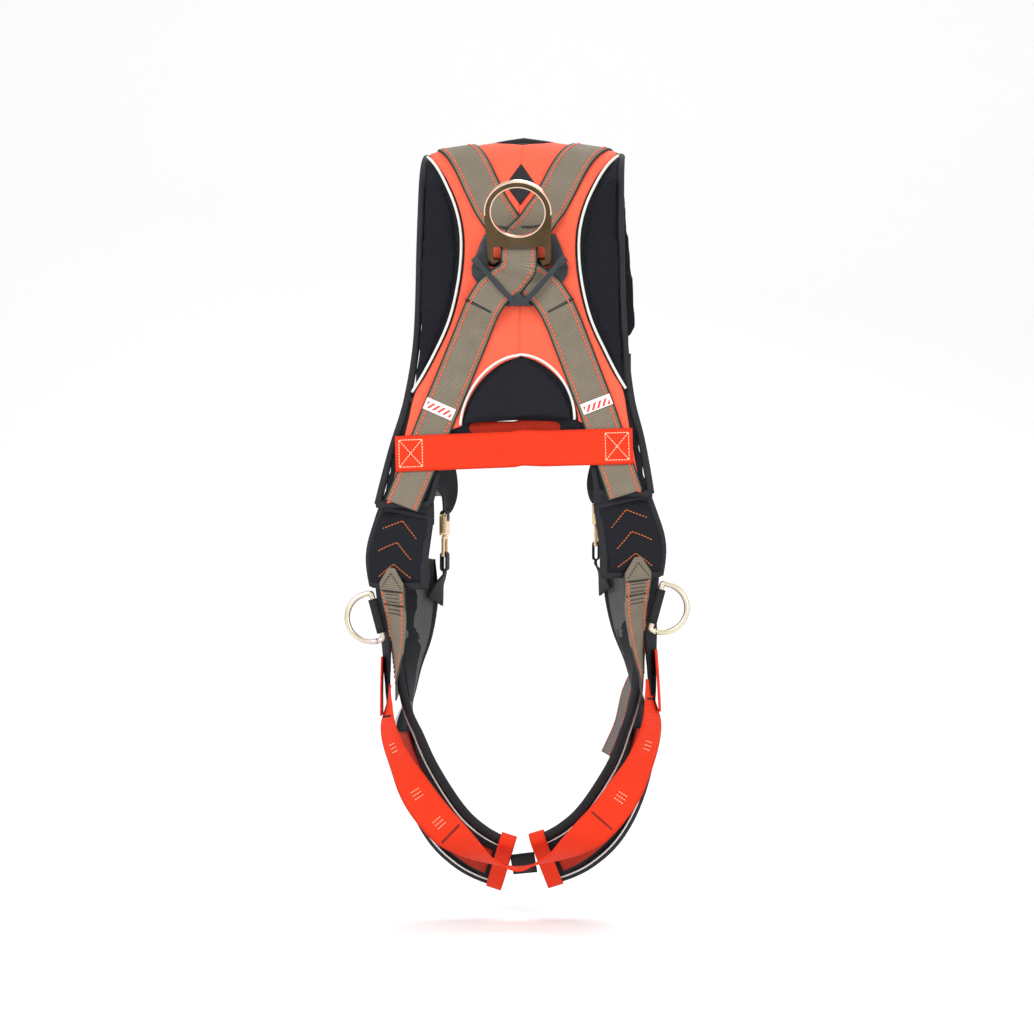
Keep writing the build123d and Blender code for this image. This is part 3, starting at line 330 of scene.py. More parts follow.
def form_band(points, width, step=5.0, ease=3):
    """A strap laid on the form through points (x, s, level of its inner face)."""
    fine = []
    for a, b in zip(points, points[1:]):
        pieces = max(1, round(math.hypot(b[0] - a[0], b[1] - a[1]) / step))
        for k in range(pieces):
            fine.append(tuple(p + (q - p) * k / pieces for p, q in zip(a, b)))
    fine = eased(fine + [points[-1]], ease)
    centres, across = [], []
    for index, (x, s, level) in enumerate(fine):
        xa, sa, _ = fine[max(0, index - 1)]
        xb, sb, _ = fine[min(len(fine) - 1, index + 1)]
        length = math.hypot(xb - xa, sb - sa)
        dx, ds = (xb - xa) / length, (sb - sa) / length
        _, _, ny, nz = form(s, level)
        centres.append(on_form(x, s, level + WEB_THICK / 2))
        fall = -SHOULDER_SLOPE * max(-1.0, min(1.0, x / 12))
        side = Vector((ds, nz * dx, -ny * dx + fall * ds)).normalized()
        flat = min(1.0, max(0.0, 1.0 - (abs(s - S_CROSSING) - CROSSING_HALF) / CROSSING_FADE))
        across.append(side * (1 - flat) + Vector((1 if ds > 0 else -1, 0, 0)) * flat)
    _, _, ny, nz = form(fine[0][1], 0)
    return Band(centres, across, [width] * len(centres), Vector((0, ny, nz)))


def side_stations(side, places):
    """Stations of a strap of one side from (x, y, z, turn, width), as the frame lays them."""
    hung = [hang(side, x, z) for x, _, z, _, _ in places]
    made = []
    for index, (_, y, _, turn, width) in enumerate(places):
        x, z = hung[index]
        xa, za = hung[max(0, index - 1)]
        xb, zb = hung[min(len(hung) - 1, index + 1)]
        length = math.hypot(xb - xa, zb - za)
        inward = Vector((side * (zb - za) / length, 0, -side * (xb - xa) / length))
        across = inward * math.cos(math.radians(turn)) + Vector((0, 1, 0)) * math.sin(math.radians(turn))
        made.append((Vector((x, y, z)), across, width))
    return made


def station_band(stations, hint=Vector((0, -1, 0)), rise=0.0, width=None, pieces=6):
    """A smooth strap through stations, lifted by a rise, with its own width if one is given."""
    centres = spread([c for c, _, _ in stations], pieces)
    across = spread([a for _, a, _ in stations], pieces)
    widths = spread([width or w for _, _, w in stations], pieces)
    band = Band(centres, across, widths, hint)
    if rise:
        band = Band([c + n * rise for c, n in zip(band.centres, band.normals)], band.across, widths,
                    band.normals[0])
    return band


# ---------------------------------------------------------------- mesh makers
class Piece:
    """A mesh in the making, with a UV map of metres across and along the cloth."""

    def __init__(self):
        self.bm = bmesh.new()
        self.uv = self.bm.loops.layers.uv.new("cloth")

    def grid(self, cells, rows, place):
        """A grid whose points and UVs come from a function of two shares from 0 to 1."""
        made = bmesh.ops.create_grid(self.bm, x_segments=cells, y_segments=rows, size=0.5)
        shares = {v: (v.co.x + 0.5, v.co.y + 0.5) for v in made["verts"]}
        spots = {v: place(*share) for v, share in shares.items()}
        for face in {f for v in made["verts"] for f in v.link_faces}:
            for loop in face.loops:
                loop[self.uv].uv = spots[loop.vert][1]
        for vert, (point, _) in spots.items():
            vert.co = point
        return made["verts"]

    def band(self, band, start=0.0, end=None, lift=0.0, width=None, cells=8, step=5.0, curl=0.3, wave=0.25,
             taper=0.0):
        """The cloth of a strap, with curled edges and a slight wave; taper narrows its first end."""
        end = band.length if end is None else end

        def place(u, v):
            along = start + (end - start) * v
            full = width or band.at(along)[3]
            full -= taper * max(0.0, 1 - (along - start) / (WEB_WIDTH / 2))
            out = (u - 0.5) * full
            ripple = wave * noise.noise(Vector((out / 30, along / 26, full)))
            drop = curl * abs(2 * u - 1) ** 4
            return band.point(along, out, lift + ripple - drop), (out * MM, along * MM)

        rows = max(2, round((end - start) / step))
        self.grid(cells, rows, place)

    def loop(self, centre, first, second, axis, half_first, half_second, length, corner):
        """Cloth folded into a closed rounded loop in the plane of two directions, long along axis."""
        quarter = math.pi / 2 * corner
        flats = (2 * (half_second - corner), 2 * (half_first - corner)) * 2
        total = sum(flats) + 4 * quarter

        def place(u, v):
            run = (v % 1.0) * total
            turn = 0
            while run >= flats[turn] + quarter and turn < 3:
                run -= flats[turn] + quarter
                turn += 1
            a, b = ((first, second), (second, -first), (-first, -second), (-second, first))[turn]
            half_a, half_b = (half_first, half_second) if turn % 2 == 0 else (half_second, half_first)
            if run <= flats[turn]:
                spot = a * half_a + b * (run - flats[turn] / 2)
            else:
                angle = (run - flats[turn]) / corner
                spot = a * (half_a - corner + corner * math.cos(angle))
                spot += b * (half_b - corner + corner * math.sin(angle))
            point = centre + spot + axis * ((u - 0.5) * length)
            return point * MM, ((u - 0.5) * length * MM, v * total * MM)

        self.grid(6, 56, place)

    def tube(self, points, radius, sides=8):
        """A closed round tube along points in metres."""
        normals = []
        last = len(points) - 1
        for index in range(last + 1):
            along = (points[min(last, index + 1)] - points[max(0, index - 1)]).normalized()
            before = normals[-1][0] if normals else along.orthogonal()
            first = (before - along * before.dot(along)).normalized()
            normals.append((first, along.cross(first)))
        runs = [0.0]
        for a, b in zip(points, points[1:]):
            runs.append(runs[-1] + (b - a).length)

        def place(u, v):
            row = round(v * (last + 2)) - 1
            size = radius if 0 <= row <= last else 0.0
            row = min(max(row, 0), last)
            angle = u * math.tau
            spot = normals[row][0] * math.cos(angle) + normals[row][1] * math.sin(angle)
            return points[row] + spot * size, (angle * radius, runs[row])

        self.grid(sides, last + 2, place)

    def thread(self, start, end, radius, normal):
        """One stitch: a slim, flattened bead of thread from start to end, half sunk in the cloth."""
        run = end - start
        along = run.normalized()
        beside = along.cross(normal).normalized()
        turn = Matrix((beside, beside.cross(along) * -1, along)).transposed().to_4x4()
        size = Matrix.Diagonal((radius, radius * 0.6, run.length / 2 + radius * 0.3, 1.0))
        place = Matrix.Translation((start + end) / 2 + normal * radius * 0.2)
        bmesh.ops.create_uvsphere(self.bm, u_segments=6, v_segments=4, radius=1.0, matrix=place @ turn @ size)

    def stitches(self, band, line, lift, pitch=5.6, length=3.8, radius=1.15):
        """A run of stitches along a line of (along, out) points of a band."""
        for (a0, o0), (a1, o1) in zip(line, line[1:]):
            run = math.hypot(a1 - a0, o1 - o0)
            count = max(1, round(run / pitch))
            for k in range(count):
                ends = []
                for share in ((k + 0.5) / count - length / 2 / run, (k + 0.5) / count + length / 2 / run):
                    ends.append(band.point(a0 + (a1 - a0) * share, o0 + (o1 - o0) * share, lift))
                self.thread(*ends, radius * MM, band.at(a0)[2])

    def tack(self, band, start, end, lift, wide=3.6, pitch=1.0, radius=0.6):
        """A bar tack between two (along, out) points: close threads laid across the line."""
        (a0, o0), (a1, o1) = start, end
        run = math.hypot(a1 - a0, o1 - o0)
        da, do = (a1 - a0) / run, (o1 - o0) / run
        for k in range(round(run / pitch)):
            a, o = a0 + da * k * pitch, o0 + do * k * pitch
            lean = 0.35 * wide * (1 if k % 2 else -1)
            first = band.point(a - do * wide / 2 + da * lean, o + da * wide / 2 + do * lean, lift)
            second = band.point(a + do * wide / 2, o - da * wide / 2, lift)
            self.thread(first, second, radius * MM, band.at(a)[2])

    def finish(self, name, body, slot, material, nodes=(), thick=0.0, merge=True, offset=0.0):
        """The finished piece, riding on its body."""
        if merge:
            bmesh.ops.remove_doubles(self.bm, verts=self.bm.verts, dist=1e-6)
            bmesh.ops.recalc_face_normals(self.bm, faces=self.bm.faces)
        mesh = bpy.data.meshes.new(name)
        self.bm.to_mesh(mesh)
        self.bm.free()
        for polygon in mesh.polygons:
            polygon.use_smooth = True
        made = bpy.data.objects.new(name, mesh)
        bpy.context.scene.collection.objects.link(made)
        if thick:
            wall = made.modifiers.new("thickness", "SOLIDIFY")
            wall.thickness = thick * MM
            wall.offset = offset
        return settled(made, body, slot, material, nodes)


def laid(name, band, slot, material, nodes=(), thick=WEB_THICK, **look):
    """A finished strap or cloth along a band, fixed to the harness."""
    piece = Piece()
    piece.band(band, **look)
    piece.finish(name, ROOT, slot, material, nodes, thick=thick)


def settled(made, body, slot, material, nodes=()):
    """Gives a piece its material, slot, body and the frame nodes that it stands for."""
    made.data.materials.clear()
    made.data.materials.append(material)
    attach(made, body)
    if nodes:
        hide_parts(*nodes)
    return made


def node_copy(node, name):
    """A copy of a frame node with its loose triangles merged."""
    bm = bmesh.new()
    bm.from_mesh(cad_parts[node].data)
    bmesh.ops.remove_doubles(bm, verts=bm.verts, dist=2e-6)
    mesh = bpy.data.meshes.new(name)
    bm.to_mesh(mesh)
    bm.free()
    made = bpy.data.objects.new(name, mesh)
    bpy.context.scene.collection.objects.link(made)
    return made


def hardware(node, name, body, slot, material, round_edge=0.6, segments=3):
    """A moulded or forged piece: a copy of its node with flat faces joined and every sharp edge rounded."""
    made = node_copy(node, name)
    bm = bmesh.new()
    bm.from_mesh(made.data)
    bmesh.ops.dissolve_limit(bm, angle_limit=math.radians(1.0), verts=bm.verts, edges=bm.edges)
    bm.to_mesh(made.data)
    bm.free()
    for polygon in made.data.polygons:
        polygon.use_smooth = True
    bevel = made.modifiers.new("round edges", "BEVEL")
    bevel.width = round_edge * MM
    bevel.segments = segments
    bevel.limit_method = "ANGLE"
    bevel.angle_limit = math.radians(38)
    bevel.harden_normals = True
    return settled(made, body, slot, material, [node])


def inflate(made, cap):
    """Swells a pad under pressure as cloth, and keeps the result; no point moves further than the cap."""
    rest = [v.co.copy() for v in made.data.vertices]
    cloth = made.modifiers.new("stuffing", "CLOTH")
    cloth.settings.use_pressure = True
    cloth.settings.uniform_pressure_force = 4.0
    cloth.settings.effector_weights.gravity = 0.0
    cloth.settings.quality = 5
    cloth.settings.mass = 0.25
    cloth.point_cache.frame_start = 1
    cloth.point_cache.frame_end = 20
    scene = bpy.context.scene
    for number in range(1, 21):
        scene.frame_set(number)
    swollen = made.evaluated_get(bpy.context.evaluated_depsgraph_get())
    moved = [v.co.copy() for v in swollen.data.vertices]
    made.modifiers.remove(cloth)
    scene.frame_set(1)
    for vert, start, end in zip(made.data.vertices, rest, moved):
        step = end - start
        if step.length > cap:
            step *= cap / step.length
        vert.co = start + step


def pad(node, name, slot, material, voxel=5.0, shrink=1.4, cap=2.6):
    """A foam pad in a cloth cover, swollen to the size of its node."""
    made = node_copy(node, name)
    remesh = made.modifiers.new("remesh", "REMESH")
    remesh.mode = "VOXEL"
    remesh.voxel_size = voxel * MM
    soften = made.modifiers.new("soften", "SMOOTH")
    soften.iterations = 3
    mesh = bpy.data.meshes.new_from_object(made.evaluated_get(bpy.context.evaluated_depsgraph_get()))
    made.modifiers.clear()
    made.data = mesh
    mesh.name = name
    for vert, normal in zip(mesh.vertices, [v.normal.copy() for v in mesh.vertices]):
        vert.co = vert.co - normal * (shrink * MM)
    inflate(made, cap * MM)
    for polygon in mesh.polygons:
        polygon.use_smooth = True
    smooth = made.modifiers.new("smooth", "SUBSURF")
    smooth.levels = smooth.render_levels = 1
    settled(made, ROOT, slot, material, [node])
    return made


# ---------------------------------------------------------------- finishes
class Value:
    """A number in a material, which Python arithmetic extends with Math nodes."""

    def __init__(self, finish, socket):
        self.finish, self.socket = finish, socket

    def math(self, operation, other, turned=False):
        values = (other, self) if turned else (self, other)
        return self.finish.node("ShaderNodeMath", {"operation": operation}, dict(enumerate(values)))

    def __add__(self, other):
        return self.math("ADD", other)

    def __sub__(self, other):
        return self.math("SUBTRACT", other)

    def __mul__(self, other):
        return self.math("MULTIPLY", other)

    def __truediv__(self, other):
        return self.math("DIVIDE", other)

    def __rsub__(self, other):
        return self.math("SUBTRACT", other, turned=True)

    def __gt__(self, other):
        return self.math("GREATER_THAN", other)

    def __lt__(self, other):
        return self.math("LESS_THAN", other)

    __radd__ = __add__
    __rmul__ = __mul__

    def wave(self, period):
        """A sine from 0 to 1 with a period."""
        return (self * (math.tau / period)).math("SINE", 0.0) * 0.5 + 0.5

    def size(self):
        return self.math("ABSOLUTE", 0.0)

    def within(self, period):
        """The share of a repeating period, from 0 to 1."""
        return (self / period).math("FRACT", 0.0)


class Finish:
    """One procedural material."""

    def __init__(self, name, roughness=0.7, metallic=0.0, gloss=0.5):
        self.material = bpy.data.materials.new(name)
        self.material.use_nodes = True
        self.tree = self.material.node_tree
        self.shader = self.tree.nodes["Principled BSDF"]
        self.shader.inputs["Roughness"].default_value = roughness
        self.shader.inputs["Metallic"].default_value = metallic
        self.shader.inputs["Specular IOR Level"].default_value = gloss
        where = self.tree.nodes.new("ShaderNodeTexCoord")
        self.object, self.cloth = where.outputs["Object"], where.outputs["UV"]

    def node(self, kind, settings=None, values=None, output=0):
        """One node: its settings first, then values or links on its sockets."""
        made = self.tree.nodes.new(kind)
        for key, value in (settings or {}).items():
            setattr(made, key, value)
        for key, value in (values or {}).items():
            if isinstance(value, Value):
                value = value.socket
            if isinstance(value, bpy.types.NodeSocket):
                self.tree.links.new(value, made.inputs[key])
            else:
                made.inputs[key].default_value = value
        return Value(self, made.outputs[output])

    def axes(self, source):
        """The three numbers of a vector socket."""
        made = self.tree.nodes.new("ShaderNodeSeparateXYZ")
        self.tree.links.new(source, made.inputs[0])
        return [Value(self, made.outputs[i]) for i in range(3)]

    def clouds(self, scale, detail=2.0):
        """Noise from 0 to 1."""
        values = {"Vector": self.object, "Scale": scale, "Detail": detail}
        return self.node("ShaderNodeTexNoise", None, values)

    def mix(self, factor, first, second):
        """A colour between two colours."""
        both = [(*c, 1.0) if isinstance(c, tuple) and len(c) == 3 else c for c in (first, second)]
        values = {0: factor, 6: both[0], 7: both[1]}
        return self.node("ShaderNodeMix", {"data_type": "RGBA"}, values, output=2)

    def put(self, socket, value):
        self.tree.links.new(value.socket, self.shader.inputs[socket])

    def relief(self, height, depth, strength):
        """Bump from a height between 0 and 1, with a depth in millimetres."""
        values = {"Height": height, "Distance": depth * MM, "Strength": strength}
        bump = self.node("ShaderNodeBump", None, values)
        self.put("Normal", bump)

    def done(self, colour, roughness=None):
        self.put("Base Color", colour)
        if roughness is not None:
            self.put("Roughness", roughness)
        return self.material


def webbing(name, colour, shade, edge, half=WEB_WIDTH / 2):
    """Woven webbing: transverse ribs, fine warp yarns, selvedges and soiling."""
    finish = Finish(name, roughness=0.75, gloss=0.2)
    across, along, _ = finish.axes(finish.cloth)
    ribs = along.wave(RIB_PITCH * MM)
    yarns = (across + ribs * 0.0002).wave(1.1 * MM)
    clouds = finish.clouds(55.0, 4.0)
    body = finish.mix(clouds * 0.4 + ribs * 0.6, colour, shade)
    selvedge = across.size() > (half - 1.9) * MM
    body = finish.mix(selvedge, body, (*edge, 1.0))
    finish.relief(ribs * 0.62 + yarns * 0.38, 0.35, 0.8)
    return finish.done(body, clouds * 0.2 + 0.62)


def cover(name, colour, shade, weave=0.9, crease=26.0, depth=0.3, roughness=0.72):
    """Woven cover cloth with a fine weave and soft creases."""
    finish = Finish(name, roughness=roughness, gloss=0.15)
    x, y, z = finish.axes(finish.object)
    weft = (z + y * 0.4).wave(weave * MM)
    warp = (x + y * 0.4).wave(weave * MM)
    creases = finish.clouds(crease, 3.0)
    wear = finish.clouds(8.0, 4.0)
    tone = finish.mix(wear * 0.6 + creases * 0.4, colour, shade)
    finish.relief(creases * 0.8 + weft * warp * 0.2, depth * 8, 0.45)
    return finish.done(tone, wear * 0.25 + (roughness - 0.12))


def spacer(name, colour, shade, pitch=3.2, own=False):
    """Air mesh: a knitted cloth with rows of small round holes, laid along the piece's own cloth or not."""
    finish = Finish(name, roughness=0.8, gloss=0.12)
    x, y, z = finish.axes(finish.object)
    slant = x + y * 0.8
    if own:
        across, z, _ = finish.axes(finish.cloth)
        slant = across * 2.0
    rows = (slant * 0.5 + z * 0.86).wave(pitch * MM)
    columns = (slant * 0.5 - z * 0.86).wave(pitch * MM)
    holes = rows * columns
    clouds = finish.clouds(18.0, 3.0)
    tone = finish.mix(holes * 0.8 + clouds * 0.2, colour, shade)
    finish.relief(1.0 - holes, 0.8, 0.8)
    return finish.done(tone, clouds * 0.2 + 0.66)


def metal(name, colour, tint, roughness):
    """Plated steel: a colour that drifts between two tints, fine scratches and worn gloss."""
    finish = Finish(name, roughness=roughness, metallic=1.0)
    clouds = finish.clouds(30.0, 3.0)
    scratches = finish.clouds(900.0, 2.0)
    tone = finish.mix((clouds - 0.5) * 2.2 + 0.5, colour, tint)
    finish.relief(scratches * 0.3 + clouds * 0.2, 0.05, 0.35)
    return finish.done(tone, clouds * 0.2 + scratches * 0.1 + (roughness - 0.15))


def ring_metal():
    """Dark olive plating on the faces of the dorsal ring, worn to a bright pink-gold along its rims."""
    finish = Finish("olive plated ring with painted rim highlights", roughness=0.26, metallic=1.0)
    x, y, z = finish.axes(finish.object)
    y, z = y - RING_EYE[1], z - RING_EYE[2]
    rise = z * -RING_AXIS[1] + y * RING_AXIS[2]
    radius = (x * x + rise * rise).math("SQRT", 0.0)
    # painted highlight: the inner rim and the upper part of the outer rim are marked for a bright pink-gold
    # that stands in for light caught on the bevelled rims
    rim = (radius < 34.4 * MM) + (radius > 40.0 * MM) * (rise > -0.004)
    clouds = finish.clouds(26.0, 3.0)
    face = finish.mix((clouds - 0.5) * 2.0 + 0.5, (0.055, 0.045, 0.016), (0.13, 0.08, 0.05))
    finish.relief(finish.clouds(900.0), 0.05, 0.3)
    # the pink-gold colour here is the painted rim highlight
    return finish.done(finish.mix(rim, face, (0.78, 0.56, 0.42)), clouds * 0.2 + 0.14)


def plastic(name, colour, shade, roughness):
    """Moulded plastic with a fine grain."""
    finish = Finish(name, roughness=roughness, gloss=0.3)
    grain = finish.clouds(1400.0, 2.0)
    scuffs = finish.clouds(40.0, 4.0)
    finish.relief(grain, 0.08, 0.5)
    return finish.done(finish.mix(scuffs, colour, shade), scuffs * 0.2 + (roughness - 0.1))


def thread_finish(name, colour):
    """Twisted sewing thread."""
    finish = Finish(name, roughness=0.6, gloss=0.25)
    twist = finish.clouds(2600.0, 1.0)
    shade = tuple(c * 0.7 for c in colour)
    finish.relief(twist, 0.1, 0.5)
    return finish.done(finish.mix(twist, colour, shade))


def label(name):
    """A white woven label with slanted red bars and a thin red frame."""
    finish = Finish(name, roughness=0.5)
    across, along, _ = finish.axes(finish.cloth)
    bars = (across + along * 0.7).within(7.0 * MM) < 0.52
    band = (along - 8.2 * MM).size() < 4.2 * MM
    inside = across.size() < 17.0 * MM
    weave = across.wave(0.6 * MM) * along.wave(0.6 * MM)
    tone = finish.mix(bars * band * inside, (0.86, 0.85, 0.83), (0.72, 0.05, 0.04))
    finish.relief(weave, 0.1, 0.4)
    return finish.done(tone, weave * 0.1 + 0.45)


class FINISHES:
    """The materials of the harness, made once."""


def shaded(colour, share):
    """A colour made darker or lighter."""
    return tuple(c * share for c in colour)


def make_finishes(colours):
    """Makes every material from the chosen colours."""
    orange = tuple(colours.cover)
    red = tuple(colours.strap)
    grey = tuple(colours.webbing)
    black = tuple(colours.padding)
    FINISHES.cover = cover("orange cover cloth", orange, shaded(orange, 0.72))
    FINISHES.padding = cover("black cover cloth", black, shaded(black, 1.9), crease=20.0)
    FINISHES.air_mesh = spacer("black air mesh", shaded(black, 1.7), shaded(black, 0.5))
    FINISHES.lining = spacer("grey mesh lining", (0.13, 0.13, 0.125), (0.025, 0.025, 0.028), 3.6, own=True)
    FINISHES.tape = cover("black binding tape", (0.012, 0.013, 0.016), (0.03, 0.03, 0.034), weave=0.7,
                          depth=0.1)
    FINISHES.piping = cover("pale piping", (0.78, 0.77, 0.73), (0.6, 0.59, 0.56), weave=0.6, depth=0.1)
    FINISHES.grey_web = webbing("grey webbing", grey, shaded(grey, 0.42), (0.035, 0.03, 0.025))
    FINISHES.hip_web = webbing("grey hip webbing", grey, shaded(grey, 0.38), (0.05, 0.045, 0.04), half=21)
    FINISHES.red_web = webbing("red-orange webbing", red, shaded(red, 0.75), shaded(red, 0.8))
    # a darkened copy of the red-orange webbing: painted shade for red strap runs that lie in shadow, the leg
    # straps on the pads and the sheet in the belt slot
    FINISHES.dark_web = webbing("red webbing in painted shade", shaded(red, 0.55), shaded(red, 0.3), shaded(red, 0.3))
    FINISHES.black_web = webbing("black webbing", (0.02, 0.021, 0.024), (0.009, 0.009, 0.011),
                                 (0.014, 0.014, 0.016))
    FINISHES.tail_web = webbing("grey tail webbing", (0.2, 0.19, 0.18), (0.11, 0.1, 0.1),
                                (0.05, 0.05, 0.05), half=20)
    FINISHES.ring = ring_metal()
    FINISHES.side_ring = metal("pale yellow zinc", (0.70, 0.66, 0.44), (0.66, 0.56, 0.52), roughness=0.36)
    FINISHES.gold = metal("gold zinc", (0.86, 0.64, 0.32), (0.84, 0.58, 0.42), roughness=0.3)
    FINISHES.plate = plastic("black moulded plastic", (0.018, 0.022, 0.027), (0.032, 0.037, 0.043), 0.42)
    FINISHES.red_tab = plastic("red tab plastic", (0.68, 0.02, 0.02), (0.5, 0.015, 0.015), roughness=0.35)
    FINISHES.label = label("inspection label")
    FINISHES.orange_thread = thread_finish("orange thread", (0.95, 0.12, 0.04))
    FINISHES.rust_thread = thread_finish("rust thread", (0.62, 0.14, 0.03))
    FINISHES.black_thread = thread_finish("black thread", (0.015, 0.015, 0.018))
    FINISHES.cream_thread = thread_finish("cream thread", (0.85, 0.72, 0.48))


# ---------------------------------------------------------------- vest
def half_cover(piece, side):
    """One half of the orange back cover, from the shoulder to the foot of its leg."""
    outer = outline(side, ORANGE_EDGE)
    leg = outline(side, LEG_INNER)
    arch_x, arch_top = hang(side, 0, ARCH_TOP)
    top_s, foot_s = down_back(arch_x, arch_top), leg[0][0]
    start, end = 2.0, min(outer[-1][0], leg[-1][0])
    marks = []
    for low, high, count in ((start, top_s, 44), (top_s, foot_s, 26), (foot_s, end, 16)):
        marks += [low + (high - low) * k / count for k in range(count)]
    marks.append(end)

    def inner(s):
        if s >= foot_s:
            return through(leg, s)
        share = max(0.0, (s - top_s) / (foot_s - top_s))
        if share > 0:
            half = (ARCH_HALF + PIPING_WIDTH) * (1 - (1 - share) ** ARCH_POWER) ** (1 / ARCH_POWER)
            return side * half + arch_x
        reach = COVER_NECK_Y - form(s, CLOTH_LEVEL)[0]
        neck = math.sqrt(max(0.0, COVER_NECK_RADIUS ** 2 - reach ** 2))
        fade = min(1.0, max(0.0, (s - 60) / 60))
        return side * neck + arch_x * fade

    def place(u, v):
        s = marks[round(v * (len(marks) - 1))]
        near, far = inner(s), through(outer, s)
        x = near + (far - near) * u
        puff = 0.35 * noise.noise(Vector((x / 28, s / 34, 1.0)))
        puff += 0.2 * noise.noise(Vector((x / 9, s / 15, 4.0)))
        tuck = 0.9 * max(0.0, u * 12 - 11)
        return on_form(x, s, CLOTH_LEVEL + 0.4 + puff - tuck) * MM, (x * MM, s * MM)

    piece.grid(26, len(marks) - 1, place)


def seam_points(side, points, shift, level, lift=0.0):
    """Points in metres along an outline of one side, at a level of the form."""
    line = outline(side, [(x + shift, z) for x, z in points])
    count = round((line[-1][0] - line[0][0]) / 6)
    made = []
    for k in range(count + 1):
        s = line[0][0] + (line[-1][0] - line[0][0]) * k / count
        made.append(on_form(through(line, s), s, level + lift) * MM)
    return made


def make_vest():
    """Foam back, orange cover, side cushions, lumbar pad, piping and binding, in this order."""
    pad("back_pad", "vest_foam_back", "pad_fabric", FINISHES.padding, voxel=5.0, shrink=2.2, cap=2.4)
    piece = Piece()
    for side, _ in SIDES:
        half_cover(piece, side)
    piece.finish("vest_cover", ROOT, "orange_fabric", FINISHES.cover, ["back_panel"], thick=0.9)
    pad("lumbar_pad", "lumbar_cushion", "pad_fabric", FINISHES.padding, voxel=4.0, cap=4.2)
    for side, hand in SIDES:
        pad("side_cushion_" + hand, "side_cushion_cover_" + hand, "side_fabric", FINISHES.air_mesh, voxel=4.0,
            cap=4.6)
        piece = Piece()
        seam = seam_points(side, HOURGLASS, SEAM_GAP + PIPING_WIDTH / 2, CLOTH_LEVEL + 1.6)
        piece.tube(seam, PIPING_RADIUS * MM)
        piece.finish("vest_piping_" + hand, ROOT, "piping", FINISHES.piping, ["side_piping_" + hand])
        pad("shoulder_pad_" + hand, "chest_pad_" + hand, "pad_fabric", FINISHES.air_mesh, voxel=5.0, cap=3.0)
    arch_piping()
    neck_binding()
    vest_binding()
    slot_painted_shade()
    neck_diamond()


def arch_piping():
    """The pale piping round the lumbar pad."""
    piece = Piece()
    arch = []
    for k in range(-30, 31):
        share = abs(k) / 30
        angle = share * math.pi / 2
        side = -1 if k < 0 else 1
        half = (ARCH_HALF + PIPING_WIDTH / 2) * math.sin(angle) ** (2 / ARCH_POWER)
        drop = 1 - math.cos(angle) ** (2 / ARCH_POWER)
        x, z = hang(side, half, ARCH_TOP + PIPING_WIDTH / 2 + (ARCH_FOOT - ARCH_TOP) * drop)
        arch.append(on_form(x, down_back(x, z), CLOTH_LEVEL + 1.6) * MM)
    piece.tube(arch, PIPING_RADIUS * MM)
    piece.finish("lumbar_arch_piping", ROOT, "piping", FINISHES.piping, ["lumbar_piping"])


def neck_binding():
    """The rolled binding along the neckline."""
    piece = Piece()
    neck = []
    for k in range(-20, 21):
        angle = math.radians(49) * k / 20
        x, y = (NECK_RADIUS - 1) * math.sin(angle), NECK_CENTRE_Y - (NECK_RADIUS - 1) * math.cos(angle)
        s = CROWN_RADIUS * math.asin(min(1.0, -y / (CROWN_RADIUS + 6)))
        neck.append(on_form(x, s, 6.5) * MM)
    piece.tube(neck, EDGE_RADIUS * MM, sides=10)
    piece.finish("neck_edge_binding", ROOT, "pad_fabric", FINISHES.tape, ["neck_binding"])


def vest_binding():
    """The bound edges of the vest."""
    piece = Piece()
    for side, _ in SIDES:
        piece.tube(seam_points(side, VEST_EDGE, -1.0, PAD_THICK / 2), EDGE_RADIUS * MM)
        piece.tube(seam_points(side, VEST_INNER, 1.0, PAD_THICK / 2), INNER_EDGE_RADIUS * MM)
        foot = [hang(side, x, VEST_FOOT) for x in range(104, 173, 4)]
        foot = [on_form(x, down_back(x, z), PAD_THICK / 2) * MM for x, z in foot]
        piece.tube(foot, EDGE_RADIUS * MM)
    piece.finish("vest_edge_binding", ROOT, "pad_fabric", FINISHES.tape)


def slot_painted_shade():
    """Dark red cloth in the belt slot above the waist strap."""
    band = form_band([(x, down_back(x, -357.5), 3.4) for x in (-68, -8, 52)], 18.0, ease=0)
    # painted shade: the sheet takes the darkened copy of the red webbing so that the slot reads as a dark
    # recess
    laid("belt_slot_painted_shade", band, "pad_fabric", FINISHES.dark_web, thick=0.8, step=6.0, wave=0.4)


def neck_diamond():
    """The black diamond sewn on below the neckline."""
    piece = Piece()

    def place(u, v):
        x, z = (u - v) * 19, -57 + (u + v - 1) * 25
        bulge = 0.7 * (1 - (2 * u - 1) ** 4) * (1 - (2 * v - 1) ** 4)
        return on_form(x, down_back(x, z), WEB_LEVEL + bulge) * MM, (x * MM, z * MM)

    piece.grid(10, 10, place)
    piece.finish("neck_diamond", ROOT, "black_webbing", FINISHES.tape, ["diamond_patch"], thick=0.9)


# ---------------------------------------------------------------- crossing straps
def crossing_band(side, lift):
    """The run of one crossing strap, from the chest over a shoulder to the opposite hip."""
    start = -side
    front = [(start * x, down_front(x, z), FRONT_PAD_THICK + LAYER_GAP)
             for x, z in ((FRONT_STRAP_X, -190), (104, -120), (97, -60))]
    crown = [(start * 92, -20, FRONT_PAD_THICK + LAYER_GAP), (start * 84, 24, WEB_LEVEL)]
    web, bar, plate = WEB_LEVEL + lift, BAR_LEVEL + lift, OVER_PLATE + lift
    back = on_back([(37, -82, WEB_LEVEL), (30, -92, web), (16, -112, web), (0, -126, web), (0, -132, web),
                    (0, -142, bar)], -side)
    back += on_back([(0, -160, bar), (10, -171, plate), (34, -188, plate), (46, -206, plate),
                     (56, -228, WEB_LEVEL), (101.5, -344, WEB_LEVEL), (139, -450, WEB_LEVEL)], side)
    return form_band(front + crown + back, WEB_WIDTH, ease=1)


